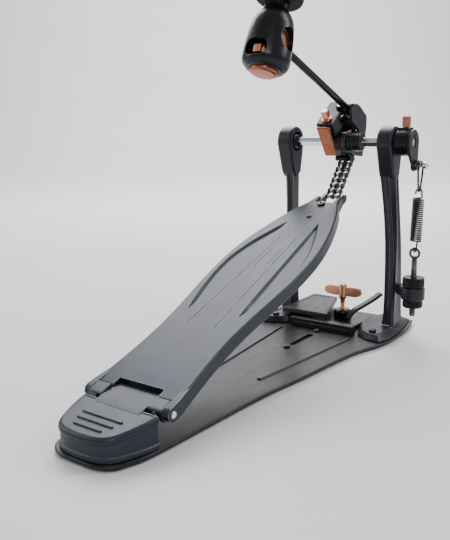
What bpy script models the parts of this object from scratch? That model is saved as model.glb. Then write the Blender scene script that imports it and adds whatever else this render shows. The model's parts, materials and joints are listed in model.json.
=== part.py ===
"""Twin-post chain-drive bass drum pedal, modelled as separate sub-parts.

Units: the constants below are in millimetres and degrees; builders turn them into metres.
Axes: +X towards the spring side, +Y towards the drum, +Z up.
Origin: on the floor, directly below the middle of the drive axle.
"""

import math

import bmesh
import bpy
from mathutils import Matrix, Vector

MM = 0.001
GAP = 0.3  # clearance between neighbouring pieces

# ---- driving dimensions ----
AXLE_Z = 181.5
HEX_FLATS = 8.2
HOUSING_IN = 44.0  # inner faces of the bearing housings, each side of the middle
HOUSING_OUT = 58.7
HOUSING_R = 14.3
CHAIN_PITCH = 6.35
CHAIN_R = 26.4  # pitch radius of the chain on the cam
CHAIN_LEAN = 39.6  # lean of the straight run from the vertical
RUN_LINKS = 7
LINK_HALF = 2.8  # half height of a link at its pins
LINK_WAIST = 2.1
CHAIN_HALF = 7.2  # half width of the two strands
HINGE_Y = -293.0
HINGE_Z = 24.0
HINGE_PIN_R = 2.3
HINGE_BORE = HINGE_PIN_R + GAP
STROKE = 68.0  # axle turn from rest to strike
BOARD_TOP = 4.0  # board's top face above the line from heel hinge to toe
BOARD_DEPTH = 10.0
PLATE_BOTTOM = 2.0
PLATE_TOP = 4.4
DECK = PLATE_TOP + GAP  # what stands on the base plate starts here
ROD_R = 3.2
ROD_BACK = 68.5  # rod's lean behind the vertical
ROD_OFFSET = 35.2  # distance from the axle's axis to the rod's axis
HEAD_REACH = 142.0  # along the rod, from abreast of the axle to the head's centre
CAM_SCREW_X = 3.6
CAM_SCREW_ANGLE = 33.0  # the cam screw's place round the axle
HUB_TILT = 36.0  # slope of the clamp block's top face
SPRING_X = 79.5
EYE_Z = 85.5
EYE_Y = -0.5
PIN_Y = 4.5
PIN_DROP = 20.0
WING_X = 5.0
WING_Y = 8.0
JAW_PIVOT = (-22.0, -14.0, 16.0)

# ---- colours: (red, green, blue), metallic, roughness ----
FINISHES = {
    "black_coat": ((0.045, 0.047, 0.055), 0.6, 0.42),
    "black_anodised": ((0.03, 0.03, 0.035), 0.8, 0.35),
    "copper": ((0.80, 0.42, 0.27), 1.0, 0.25),
    "chrome": ((0.85, 0.86, 0.88), 1.0, 0.08),
    "black_nickel": ((0.16, 0.16, 0.17), 1.0, 0.28),
    "rubber": ((0.02, 0.02, 0.02), 0.0, 0.85),
    "felt": ((0.05, 0.05, 0.055), 0.0, 0.95),
}


def clear_scene():
    for obj in list(bpy.data.objects):
        bpy.data.objects.remove(obj, do_unlink=True)


def finish_material(finish, node_name):
    """A Principled material of its own for one node."""
    colour, metallic, roughness = FINISHES[finish]
    mat = bpy.data.materials.new(node_name)
    mat.use_nodes = True
    shader = mat.node_tree.nodes["Principled BSDF"]
    shader.inputs["Base Color"].default_value = (*colour, 1.0)
    shader.inputs["Metallic"].default_value = metallic
    shader.inputs["Roughness"].default_value = roughness
    mat.diffuse_color = (*colour, 1.0)
    return mat


def add_object(name, bm, finish=None, pivot=(0, 0, 0)):
    """Links a mesh given in millimetres, its origin at pivot. Without a finish it is a hidden helper."""
    origin = Vector(pivot)
    bmesh.ops.translate(bm, verts=bm.verts, vec=-origin)
    bmesh.ops.scale(bm, verts=bm.verts, vec=(MM, MM, MM))
    bmesh.ops.recalc_face_normals(bm, faces=bm.faces)
    mesh = bpy.data.meshes.new(name)
    bm.to_mesh(mesh)
    bm.free()
    obj = bpy.data.objects.new(name, mesh)
    bpy.context.scene.collection.objects.link(obj)
    obj.location = origin * MM
    if finish:
        mesh.materials.append(finish_material(finish, name))
        mesh.shade_smooth()
        mesh.set_sharp_from_angle(angle=math.radians(35))
    else:
        obj.hide_render = True
        obj.display_type = "WIRE"
    return obj


def bevelled(obj, width, segments=1):
    """Rounds the object's sharp edges."""
    mod = obj.modifiers.new("Bevel", "BEVEL")
    mod.width = width * MM
    mod.segments = segments
    mod.limit_method = "ANGLE"
    mod.angle_limit = math.radians(40)
    mod.use_clamp_overlap = True
    return obj


def combine(obj, operation, helper_name, bm):
    """Joins to, or cuts from, the object the solid that bm holds in world millimetres."""
    helper = add_object(helper_name, bm)
    mod = obj.modifiers.new(helper_name, "BOOLEAN")
    mod.operation = operation
    mod.solver = "EXACT"
    mod.object = helper
    return obj


def cut(obj, helper_name, bm):
    return combine(obj, "DIFFERENCE", helper_name, bm)


def fuse(obj, helper_name, bm):
    return combine(obj, "UNION", helper_name, bm)


# ---- mesh builders, all in millimetres ----


def loft(rings):
    """A closed solid through rings of points, each ring with the same number of points."""
    bm = bmesh.new()
    rows = [[bm.verts.new(point) for point in ring] for ring in rings]
    for low, high in zip(rows, rows[1:]):
        for i in range(len(low)):
            j = (i + 1) % len(low)
            bm.faces.new((low[i], low[j], high[j], high[i]))
    bm.faces.new(rows[0])
    bm.faces.new(rows[-1])
    return bm


def prism(outline, axis, low, high):
    """An outline extruded along X, Y or Z; its points are the two other coordinates in XYZ order."""

    def place(point, depth):
        a, b = point
        return {"X": (depth, a, b), "Y": (a, depth, b), "Z": (a, b, depth)}[axis]

    return loft([[place(p, low) for p in outline], [place(p, high) for p in outline]])


def box(low, high):
    outline = [(low[0], low[1]), (high[0], low[1]), (high[0], high[1]), (low[0], high[1])]
    return prism(outline, "Z", low[2], high[2])


def arc(centre, radius, start, end, steps):
    """Points of an arc, from the start angle to the end angle in degrees, both included."""
    angles = [math.radians(start + (end - start) * i / steps) for i in range(steps + 1)]
    return [(centre[0] + radius * math.cos(a), centre[1] + radius * math.sin(a)) for a in angles]


def circle(centre, radius, sides):
    return arc(centre, radius, 0, 360, sides)[:-1]


def frame_to(direction):
    """Rotation that takes +Z to the given direction."""
    return Vector((0, 0, 1)).rotation_difference(Vector(direction).normalized()).to_matrix().to_4x4()


def turned(profile, base, direction, sides=20):
    """A turned solid: profile lists (radius, height), from the axis at one end to the axis at the other."""
    bm = bmesh.new()
    rows = []
    for radius, height in profile:
        if radius < 1e-6:
            rows.append([bm.verts.new((0, 0, height))])
        else:
            rows.append([bm.verts.new((x, y, height)) for x, y in circle((0, 0), radius, sides)])
    for low, high in zip(rows, rows[1:]):
        for i in range(sides):
            j = (i + 1) % sides
            ring = [low[i % len(low)], low[j % len(low)], high[j % len(high)], high[i % len(high)]]
            corners = list(dict.fromkeys(ring))
            if len(corners) > 2:
                bm.faces.new(corners)
    bmesh.ops.transform(bm, matrix=Matrix.Translation(Vector(base)) @ frame_to(direction), verts=bm.verts)
    return bm


def rod(radius, start, end, sides=16):
    """A plain cylinder between two points."""
    span = Vector(end) - Vector(start)
    return turned([(0, 0), (radius, 0), (radius, span.length), (0, span.length)], start, span, sides)


def ring(outer, inner, low, high, base, direction, sides=20):
    """A flat ring with a square section."""
    bm = bmesh.new()
    rows = []
    for radius, height in ((outer, low), (outer, high), (inner, high), (inner, low)):
        rows.append([bm.verts.new((x, y, height)) for x, y in circle((0, 0), radius, sides)])
    for row, after in zip(rows, rows[1:] + rows[:1]):
        for i in range(sides):
            j = (i + 1) % sides
            bm.faces.new((row[i], row[j], after[j], after[i]))
    bmesh.ops.transform(bm, matrix=Matrix.Translation(Vector(base)) @ frame_to(direction), verts=bm.verts)
    return bm


def wire(points, radius, sides=8, closed=False):
    """A round wire through points; a closed one joins its ends."""
    pts = [Vector(p) for p in points]
    count = len(pts)
    bm = bmesh.new()
    rows = []
    side = None
    for i, point in enumerate(pts):
        before = pts[i - 1] if i or closed else point
        after = pts[(i + 1) % count] if i < count - 1 or closed else point
        along = (after - before).normalized()
        if side is None:
            side = along.orthogonal().normalized()
        side = (side - along * side.dot(along)).normalized()
        up = along.cross(side)
        around = circle((0, 0), radius, sides)
        rows.append([bm.verts.new(point + side * x + up * y) for x, y in around])
    pairs = list(zip(rows, rows[1:]))
    if closed:
        shift = min(range(sides), key=lambda k: (rows[-1][0].co - rows[0][k].co).length)
        pairs.append((rows[-1], rows[0][shift:] + rows[0][:shift]))
    for low, high in pairs:
        for i in range(sides):
            j = (i + 1) % sides
            bm.faces.new((low[i], low[j], high[j], high[i]))
    if not closed:
        bm.faces.new(rows[0])
        bm.faces.new(rows[-1])
    return bm


def strap(points, across, half_width, half_thick):
    """A flat bar swept through points, its width kept along the given direction."""
    pts = [Vector(p) for p in points]
    rings = []
    for i, point in enumerate(pts):
        along = (pts[min(i + 1, len(pts) - 1)] - pts[max(i - 1, 0)]).normalized()
        side = Vector(across)
        side = (side - along * side.dot(along)).normalized() * half_width
        up = along.cross(side).normalized() * half_thick
        rings.append([point + side + up, point - side + up, point - side - up, point + side - up])
    return loft(rings)


def moved(bm, matrix):
    bmesh.ops.transform(bm, matrix=matrix, verts=bm.verts)
    return bm


def mirrored_x(points):
    """The same outline on the other side of the middle plane."""
    return [(-x, *rest) for x, *rest in points]


def about_axle(angle, radius):
    """A point in the YZ plane, at an angle from +Y and a distance from the axle's axis."""
    turn = math.radians(angle)
    return (radius * math.cos(turn), AXLE_Z + radius * math.sin(turn))


# ---- derived places ----

LINK_STEP = 2 * math.degrees(math.asin(CHAIN_PITCH / 2 / CHAIN_R))
PAIR_STEP = 2 * math.degrees(math.asin(CHAIN_PITCH / CHAIN_R))
TANGENT = -CHAIN_LEAN
ANCHOR = TANGENT + 3 * PAIR_STEP + LINK_STEP
RUN_DIR = (-math.sin(math.radians(CHAIN_LEAN)), -math.cos(math.radians(CHAIN_LEAN)))
TANGENT_POINT = about_axle(TANGENT, CHAIN_R)
TOE = tuple(TANGENT_POINT[i] + RUN_LINKS * CHAIN_PITCH * RUN_DIR[i] for i in range(2))
BOARD_LENGTH = math.hypot(TOE[0] - HINGE_Y, TOE[1] - HINGE_Z)
BOARD_TILT = math.atan2(TOE[1] - HINGE_Z, TOE[0] - HINGE_Y)
ROD_DIR = Vector((0, -math.sin(math.radians(ROD_BACK)), math.cos(math.radians(ROD_BACK))))
STRIKE_DIR = Vector((0, math.cos(math.radians(ROD_BACK)), math.sin(math.radians(ROD_BACK))))
ABREAST = Vector((0, 0, AXLE_Z)) + STRIKE_DIR * ROD_OFFSET
HEAD = ABREAST + ROD_DIR * HEAD_REACH


def on_board(x, along, height):
    """World point for a place on the footboard: along from the hinge, height above the hinge-toe line."""
    cos, sin = math.cos(BOARD_TILT), math.sin(BOARD_TILT)
    return (x, HINGE_Y + along * cos - height * sin, HINGE_Z + along * sin + height * cos)


def board_matrix():
    return Matrix.Translation((0, HINGE_Y, HINGE_Z)) @ Matrix.Rotation(BOARD_TILT, 4, "X")


def in_hub(a, b):
    """World YZ point in the clamp block's frame: a along its top face, b out of it, from the axle's axis."""
    cos, sin = math.cos(math.radians(HUB_TILT)), math.sin(math.radians(HUB_TILT))
    return (a * cos - b * sin, AXLE_Z + a * sin + b * cos)


# ---- base ----

BASE_HALF = [
    (11, -342.5), (19.5, -340.5), (26.5, -335), (30.5, -326), (35.2, -303), (41, -200),
    (48, -142), (56, -72), (66, -37), (69, -12), (68, 22), (62, 50),
]
HEEL_HALF = [(10.5, -340), (18, -338), (24, -333.2), (27.6, -326), (31.8, -314), (34.0, -302.5)]


def full_outline(half):
    """Closes a right-hand half outline with its mirror image."""
    return half + mirrored_x(half)[::-1]


def make_base_plate():
    sheet = prism(full_outline(BASE_HALF), "Z", PLATE_BOTTOM, PLATE_TOP)
    plate = add_object("base_plate", sheet, "black_coat")
    rib = [(20, -172), (24, -172), (38, -42), (34, -42)]
    fuse(plate, "rib_right", prism(rib, "Z", PLATE_BOTTOM + 1, PLATE_TOP + 1.4))
    fuse(plate, "rib_left", prism(mirrored_x(rib), "Z", PLATE_BOTTOM + 1, PLATE_TOP + 1.4))
    slot = arc((0, -49), 3, 0, 180, 6) + arc((0, -81), 3, 180, 360, 6)
    cut(plate, "slot", prism(slot, "Z", 0, 10))
    return plate


def make_base_rubber():
    inset = [(x - 2.5, max(y, -338)) for x, y in BASE_HALF]
    return add_object("base_rubber", prism(full_outline(inset), "Z", 0, PLATE_BOTTOM - GAP), "rubber")


def heel_ring(inset, height_at):
    points = full_outline([(x - inset, y + (0 if y > -303 else inset)) for x, y in HEEL_HALF])
    return [(x, y, height_at(y)) for x, y in points]


def make_heel_plate():
    """Cast wedge with a tongue that fills the footboard's notch and holds the hinge pin."""
    rings = [heel_ring(0, lambda y: DECK), heel_ring(0.3, lambda y: 18.8 + (y + 338) * 0.15)]
    rings.append(heel_ring(1.8, lambda y: 20.2 + (y + 338) * 0.15))
    heel = add_object("heel_plate", loft(rings), "black_coat")
    tongue = [(-306, 12), (-306, 25), (-299, 26.8), (-286, 28.8), (-280.6, 28.8), (-280.6, 18), (-288, 12)]
    fuse(heel, "tongue", prism(tongue, "X", -19.6, 19.6))
    cut(heel, "heel_bore", rod(HINGE_BORE, (-30, HINGE_Y, HINGE_Z), (30, HINGE_Y, HINGE_Z)))
    return heel


FOOT_SCREW = (52.0, -25.5)


def make_feet():
    floor = [(28, -2), (38, -27), (50, -35.5), (63, -37), (67, -22), (66.5, 0), (64, 25), (60, 46)]
    floor += [(34, 46), (28, 25)]
    top = [(31, 0.5), (41, -24.5), (51, -32), (61, -33.5), (63, -22), (62, -4), (57, 20), (52, 38)]
    top += [(37, 38), (32, 22)]
    for side, flip in (("right", False), ("left", True)):
        low, high = (mirrored_x(floor), mirrored_x(top)) if flip else (floor, top)
        rings = [[(*p, DECK) for p in low], [(*p, DECK + 1.2) for p in low], [(*p, 10.5) for p in high]]
        foot = add_object(f"foot_{side}", loft(rings), "black_coat")
        sign = -1 if flip else 1
        x, y = sign * FOOT_SCREW[0], FOOT_SCREW[1]
        cut(foot, f"foot_{side}_screw_hole", rod(2.6, (x, y, 6.5), (x, y, 20)))


POST_SECTIONS = [
    # height, inner X, outer X, rear Y, front Y
    (10.8, 49.0, 62.5, -3.0, 24.0),
    (15.0, 50.6, 61.2, 0.0, 20.5),
    (40.0, 50.8, 60.6, 1.5, 19.0),
    (85.0, 49.4, 59.8, 3.0, 16.5),
    (120.0, 47.6, 58.6, 0.5, 12.5),
    (150.0, 45.6, 57.6, -4.5, 9.0),
    (172.0, 44.6, 57.4, -9.0, 9.0),
]


def post_ring(section, sign):
    """A six-sided section, its outer rear corner cut back more towards the top."""
    z, inner, outer, rear, front = section
    lean = 1.5 + 3.5 * max(0.0, (z - 60) / 112)
    corners = [(inner, rear), (outer - lean, rear), (outer, rear + lean * 1.3)]
    corners += [(outer, front), (inner + 1.5, front), (inner, front - 2)]
    return [(sign * x, y, z) for x, y in corners]


def make_posts():
    drop = AXLE_Z - 34
    outline = arc((0, AXLE_Z), HOUSING_R, -20, 200, 22) + [(-5, drop + 4), (1, drop - 2), (9, drop + 4)]
    for side, sign in (("right", 1), ("left", -1)):
        low, high = sorted((sign * HOUSING_IN, sign * HOUSING_OUT))
        post = add_object(f"post_{side}", loft([post_ring(s, sign) for s in POST_SECTIONS]), "black_coat")
        fuse(post, f"housing_{side}", prism(outline, "X", low, high))
        bore = rod(7.3, (sign * 40, 0, AXLE_Z), (sign * 64, 0, AXLE_Z), 24)
        cut(post, f"bore_{side}", bore)
        make_bearing(side, sign)


def make_bearing(side, sign):
    start = sign * (HOUSING_IN - 0.6)
    race = ring(7.0, 5.1, 0, HOUSING_OUT - HOUSING_IN + 0.4, (start, 0, AXLE_Z), (sign, 0, 0), 24)
    add_object(f"bearing_{side}", race, "black_anodised")


def make_bridge():
    """Cross plate that ties the two feet together and carries the hoop clamp."""
    outline = [(-27.5, -29.5), (27.5, -29.5), (27.5, 30), (-27.5, 30)]
    bridge = add_object("bridge_plate", prism(outline, "Z", DECK, 8.0), "black_coat")
    return fuse(bridge, "bridge_ledge", box((-33, -29.5, DECK), (33, -22.0, 12.4)))


# ---- screws ----


def socket_screw(name, base, direction, radius, height, stem=0.0, pivot=None):
    """Screw head with a hexagonal socket and a plain stem below it."""
    profile = [(0, -stem), (radius * 0.55, -stem), (radius * 0.55, 0)] if stem else [(0, 0)]
    profile += [(radius, 0), (radius, height * 0.75), (radius * 0.86, height), (0, height)]
    screw = add_object(name, turned(profile, base, direction, 16), "black_nickel", pivot or base)
    key = circle((0, 0), radius * 0.45, 6)
    socket = loft([[(x, y, height * 0.35) for x, y in key], [(x, y, height + 1) for x, y in key]])
    cut(screw, f"{name}_socket", moved(socket, Matrix.Translation(Vector(base)) @ frame_to(direction)))
    return screw


def make_root_screws():
    for name, y in (("base_screw_rear", -92.0), ("base_screw_front", -36.0)):
        socket_screw(name, (0, y, DECK), (0, 0, 1), 3.0, 1.8)
    for side, sign in (("right", 1), ("left", -1)):
        seat = (sign * FOOT_SCREW[0], FOOT_SCREW[1], 10.8)
        socket_screw(f"foot_screw_{side}", seat, (0, 0, 1), 3.4, 2.4, stem=3.5)


# ---- hoop clamp ----


def make_hoop_clamp():
    jaw = [(-47, -21), (3, -21), (-19, 44), (-47, 44)]
    plate = add_object("clamp_jaw", prism(jaw, "Z", 14.0, 18.5), "black_coat", JAW_PIVOT)
    bevelled(plate, 0.8)
    pad = [(-29.5, 31), (-16, 31), (-20.5, 43), (-29.5, 43)]
    add_object("clamp_pad", prism(pad, "Z", 11.6, 13.7), "rubber", JAW_PIVOT)
    profile = [(0, 8.3), (8.6, 8.3), (8.6, 15.5), (7.0, 17.5), (0, 17.5)]
    boss = turned(profile, (WING_X, WING_Y, 0), (0, 0, 1), 20)
    post = add_object("clamp_boss", boss, "black_anodised")
    cut(post, "boss_bore", rod(2.9, (WING_X, WING_Y, 10), (WING_X, WING_Y, 30), 12))
    points = [(15.5, -2, 10.6), (18.5, 2, 17.5), (24.5, 9.5, 22.5), (31.5, 19, 28), (37, 26.5, 33.5)]
    add_object("clamp_arm", strap(points, (0.8, -0.6, 0), 3.4, 1.5), "black_coat")


def make_wing_bolt():
    """Screw that closes the hoop clamp: a turned hub with two flat wings."""
    x, y = WING_X, WING_Y
    profile = [(0, 10.6), (2.5, 10.6), (2.5, 28), (3.9, 29.5), (3.9, 42), (3.2, 43), (0, 43)]
    bolt = add_object("wing_bolt", turned(profile, (x, y, 0), (0, 0, 1), 20), "copper", (x, y, 30))
    for side, sign in (("right", 1), ("left", -1)):
        wing = [(3, 31), (15, 31.5), (19, 33), (19.6, 36), (18.5, 39), (14, 40), (3, 39.5)]
        outline = [(x + sign * a, z) for a, z in wing]
        fuse(bolt, f"wing_{side}", prism(outline, "Y", y - 1.5, y + 1.5))
    return bolt


# ---- spring side ----


def make_spring_bracket():
    """Arm from the right post to the round boss that carries the eye bolt."""
    boss = ring(10.6, 3.1, 0, 11, (SPRING_X, EYE_Y, 40), (0, 0, 1), 24)
    bracket = add_object("spring_bracket", boss, "black_coat")
    arm = [(61.2, 4), (61.2, 16), (70.5, 9), (SPRING_X - 3, 9.4), (SPRING_X - 5, -7.5), (70, -5)]
    fuse(bracket, "bracket_arm", prism(arm, "Z", 42, 50))
    cut(bracket, "bracket_bore", rod(3.1, (SPRING_X, EYE_Y, 35), (SPRING_X, EYE_Y, 55), 20))
    return bracket


def make_eye_bolt():
    """Threaded rod with a ring at its top for the spring's hook."""
    base = (SPRING_X, EYE_Y, 0)
    profile = [(0, 24), (2.4, 24), (2.8, 24.6), (2.8, 76), (2.0, 80), (0, 80)]
    bolt = add_object("eye_bolt", turned(profile, base, (0, 0, 1), 16), "black_nickel")
    loop = [(x, EYE_Y, z) for x, z in circle((SPRING_X, 82.6), 4.2, 12)]
    fuse(bolt, "eye", wire(loop, 1.2, 8, closed=True))
    nuts = (("tension_nut", 51.3, 9.4, 9.8, 18), ("lock_nut", 32.6, 7.0, 9.0, 18))
    for name, low, height, radius, teeth in nuts:
        add_object(name, knurled_nut(low, height, radius, teeth), "black_anodised", (SPRING_X, EYE_Y, low))


def knurled_nut(low, height, radius, teeth):
    """A round nut whose rim alternates between two radii."""

    def rim(z, scale):
        points = []
        for i in range(teeth * 2):
            a = math.pi * i / teeth
            r = (radius if i % 2 else radius - 0.45) * scale
            points.append((SPRING_X + r * math.cos(a), EYE_Y + r * math.sin(a), z))
        return points

    def bore(z):
        return [(x, y, z) for x, y in circle((SPRING_X, EYE_Y), 3.2, teeth * 2)]

    top = low + height
    rings = [bore(low), rim(low, 0.94), rim(low + 0.9, 1.0), rim(top - 0.9, 1.0), rim(top, 0.94), bore(top)]
    bm = bmesh.new()
    rows = [[bm.verts.new(p) for p in r] for r in rings]
    for row, after in zip(rows, rows[1:] + rows[:1]):
        for i in range(len(row)):
            j = (i + 1) % len(row)
            bm.faces.new((row[i], row[j], after[j], after[i]))
    return bm


def spring_axis():
    """Unit vector from the eye bolt's ring to the rocker pin."""
    return (Vector((SPRING_X, PIN_Y, AXLE_Z - PIN_DROP)) - Vector((SPRING_X, EYE_Y, EYE_Z))).normalized()


def spring_point(x, y, along):
    """A point in the spring's frame: x and y across it, along from the eye bolt's hook point."""
    axis = spring_axis()
    across = Vector((0, axis.z, -axis.y))
    return Vector((SPRING_X, EYE_Y, EYE_Z)) + Vector((x, 0, 0)) + across * y + axis * along


COIL_LOW = 8.0
COIL_HIGH = 47.0
COIL_TURNS = 21
COIL_R = 4.6
COIL_WIRE = 0.8
COIL_STEPS = 8
HOOK_R = 2.9
UPPER_HOOK = 52.1  # upper hook's centre along the spring
LINK_LOW = 55.6  # centre of the wire loop's lower bend


def hook_point(across, centre, angle):
    """A point of a hook that lies in the plane of the spring's axis and X or Y."""
    turn = math.radians(angle)
    side, along = HOOK_R * math.cos(turn), centre + HOOK_R * math.sin(turn)
    return spring_point(side, 0, along) if across == "X" else spring_point(0, side, along)


def make_spring():
    """Close-wound extension spring with a hook at each end."""
    points = [hook_point("Y", 1.4, angle) for angle in (150, 205, 260, 315, 360)]
    points.append(spring_point(0, HOOK_R, 4.5))
    for i in range(COIL_TURNS * COIL_STEPS + 1):
        a = 2 * math.pi * i / COIL_STEPS
        along = COIL_LOW + (COIL_HIGH - COIL_LOW) * i / (COIL_TURNS * COIL_STEPS)
        points.append(spring_point(COIL_R * math.sin(a), COIL_R * math.cos(a), along))
    points += [spring_point(1.6, 3.0, 48.0), spring_point(2.6, 1.0, 49.3)]
    points += [hook_point("X", UPPER_HOOK, angle) for angle in (-25, 20, 65, 110, 155, 200, 225)]
    add_object("spring", wire(points, COIL_WIRE, 4), "black_nickel", (SPRING_X, EYE_Y, EYE_Z))


def make_spring_link():
    """Long wire loop that hangs from the rocker pin and takes the spring's upper hook."""
    length = (Vector((SPRING_X, PIN_Y, AXLE_Z - PIN_DROP)) - Vector((SPRING_X, EYE_Y, EYE_Z))).length
    top = length - 1.4
    upper = [(5.4 * x, top + 4.6 * y) for x, y in arc((0, 0), 1.0, 0, 180, 8)]
    lower = arc((0, LINK_LOW), 2.6, 180, 360, 5)
    outline = upper + [(-5.3, top - 6.0)] + lower + [(5.3, top - 6.0)]
    points = [spring_point(0, y, z) for y, z in outline]
    add_object("spring_link", wire(points, 0.9, 8, closed=True), "black_nickel", (SPRING_X, EYE_Y, EYE_Z))


def make_rocker():
    """Lever on the axle's end that stretches the spring."""
    axle = (0, 0, AXLE_Z)
    drum = prism(circle((0, AXLE_Z), 12.0, 28), "X", 60.0, 71.4)
    hub = add_object("rocker_hub", drum, "black_anodised", axle)
    fuse(hub, "clamp_ear", box((60.0, -5.2, AXLE_Z + 4), (71.4, 5.2, AXLE_Z + 13.0)))
    bore = circle((0, AXLE_Z), HEX_FLATS / math.sqrt(3) + 0.35, 6)
    cut(hub, "hub_bore", prism(bore, "X", 55, 80))
    cut(hub, "hub_bolt_hole", rod(2.5, (66.4, 0, AXLE_Z + 4.5), (66.4, 0, AXLE_Z + 20), 12))
    outline = arc((0, AXLE_Z), 11.2, -12, 180, 14) + [(-9.5, AXLE_Z - 9), (-4, AXLE_Z - 16)]
    outline += arc((PIN_Y, AXLE_Z - PIN_DROP), 5.6, 170, 370, 10)
    arm = add_object("rocker_arm", prism(outline, "X", 71.8, 74.6), "black_coat", axle)
    cut(arm, "arm_bore", prism(bore, "X", 55, 90))
    cut(arm, "arm_pin_hole", rod(2.1, (70, PIN_Y, AXLE_Z - PIN_DROP), (78, PIN_Y, AXLE_Z - PIN_DROP), 16))
    profile = [(0, 71.0), (1.8, 71.0), (1.8, 84.2), (3.1, 84.2), (3.1, 85.2), (2.0, 86.6), (0, 87.0)]
    pin = turned(profile, (0, PIN_Y, AXLE_Z - PIN_DROP), (1, 0, 0), 16)
    add_object("rocker_pin", pin, "chrome", axle)
    make_square_bolt("rocker_bolt", Vector((66.4, 0, AXLE_Z + 13.3)), Vector((0, 0, 1)), 6.2, 9.6, 7.5, 0.0)


def make_square_bolt(name, base, direction, width, height, stem, flange):
    """Drum-key bolt: a square head, an optional round flange and a round stem, the head's foot at base."""
    frame = Matrix.Translation(base) @ frame_to(direction)
    half = width / 2
    edge = half - 0.7
    square = [(half, -edge), (half, edge), (edge, half), (-edge, half)]
    square += [(-half, edge), (-half, -edge), (-edge, -half), (edge, -half)]
    bolt = add_object(name, moved(prism(square, "Z", 0, height), frame), "copper", (0, 0, AXLE_Z))
    profile = [(0, -stem), (2.1, -stem), (2.1, -0.001), (max(flange, half * 0.95), 0),
        (max(flange, half * 0.95), 1.4), (0, 1.4)]
    fuse(bolt, f"{name}_stem", moved(turned(profile, (0, 0, 0), (0, 0, 1), 16), frame))
    return bolt


# ---- axle, cam and beater holder ----


def make_hex_shaft():
    outline = circle((0, AXLE_Z), HEX_FLATS / math.sqrt(3), 6)
    add_object("hex_shaft", prism(outline, "X", -60.0, 73.6), "chrome", (0, 0, AXLE_Z))


def hex_bore():
    return prism(circle((0, AXLE_Z), HEX_FLATS / math.sqrt(3) + 0.35, 6), "X", -30, 30)


CHEEK = [(8.8, 34.9), (23, 32.4), (38, 23.2), (38, 14.1), (35.8, 3.5), (31, -15), (15, -13.5)]
CHEEK_IN = [(9.4, 1.8), (19.6, 1.0), (22.2, 10.1), (6.5, 19.3), (4.8, 27.3)]


def make_cheeks():
    """Side plates of the cam. The left one is trimmed to pass below the clamp block."""
    boss = arc((0, 0), 9.6, -70, -348, 18)
    for side, sign, start in (("right", 1, CHEEK[:1]), ("left", -1, [(13.4, 32.6)])):
        outline = start + CHEEK[1:] + boss + CHEEK_IN
        if side == "left":
            outline[-1] = (5.0, 25.8)
        placed = [(y, AXLE_Z + z) for y, z in outline]
        low, high = sorted((sign * 8.3, sign * 11.3))
        cheek = add_object(f"cam_cheek_{side}", prism(placed, "X", low, high), "black_coat", (0, 0, AXLE_Z))
        cut(cheek, f"cheek_bore_{side}", hex_bore())
        if side == "left":
            cut(cheek, "cheek_stopper_room", stopper_room())
    sleeve = rod(8.6, (11.7, 0, AXLE_Z), (25, 0, AXLE_Z), 24)
    collar = add_object("cam_collar", sleeve, "black_anodised", (0, 0, AXLE_Z))
    cut(collar, "collar_bore", hex_bore())


def make_cam_rim():
    """Curved saddle that the chain wraps on, between the cheeks, with a web down to the shaft."""
    outer = CHAIN_R - 4.2
    outline = [about_axle(a, outer) for a in range(63, -57, -6)]
    outline += [about_axle(a, outer - 3.4) for a in range(-57, 64, 6)]
    rim = add_object("cam_rim", prism(outline, "X", -8.0, 8.0), "black_anodised", (0, 0, AXLE_Z))
    web = [about_axle(-8, 21), about_axle(-50, 21), about_axle(-75, 9.4)]
    web += [about_axle(a, 9.4) for a in range(-95, -351, -17)]
    fuse(rim, "cam_web", prism(web, "X", -8.0, 8.0))
    cut(rim, "web_bore", hex_bore())
    cut(rim, "web_stopper_room", stopper_room())
    screw = [Vector((CAM_SCREW_X, *about_axle(CAM_SCREW_ANGLE, radius))) for radius in (12, 30)]
    cut(rim, "cam_screw_hole", rod(2.5, *screw, 12))
    inward = Vector((0, *about_axle(CAM_SCREW_ANGLE + 180, 1))) - Vector((0, 0, AXLE_Z))
    seat = Vector((CAM_SCREW_X, *about_axle(CAM_SCREW_ANGLE, CHAIN_R - 8.0)))
    make_square_bolt("cam_screw", seat, inward, 6.2, 7.0, 2.4, 0.0)
    return rim


def stopper_room():
    """The space kept clear for the stopper plate behind the shaft."""
    corners = [in_hub(-20, 21.8), in_hub(-5.1, 21.8), in_hub(-5.1, -20), in_hub(-20, -20)]
    return prism(corners, "X", -14, 0.7)


def make_clamp_block():
    """Block that clamps the holder on the shaft, its copper plate, and the bolt that tightens it."""
    axle = (0, 0, AXLE_Z)
    section = [(-4.6, 24), (30, 24), (30, 20), (9, 20), (9, 9.9), (-4.6, 9.9)]
    outline = [in_hub(a, b) for a, b in section]
    block = add_object("clamp_block", prism(outline, "X", -14.2, 3.0), "black_coat", axle)
    corner = [(-9.5, 34), (4, 34), (4, 14), (0.5, 14), (-3.6, 19.5)]
    frame = Matrix.Translation(axle) @ Matrix.Rotation(math.radians(HUB_TILT), 4, "X")
    cut(block, "rod_relief", moved(prism(corner, "Z", 15, 30), frame))
    cut(block, "clamp_bolt_hole", moved(rod(2.5, (-5.4, 2, 12), (-5.4, 2, 30), 12), frame))
    plate = [in_hub(-8.4, 21.5), in_hub(-5.4, 22), in_hub(-5.4, -10.8), in_hub(-8.4, -10.8)]
    bevelled(add_object("stopper_plate", prism(plate, "X", -13.0, 0.4), "copper", axle), 0.6)
    base = frame @ Vector((-5.4, 2, 24.3))
    make_square_bolt("clamp_bolt", base, frame.to_3x3() @ Vector((0, 0, 1)), 6.0, 9.5, 10.0, 5.0)


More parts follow.
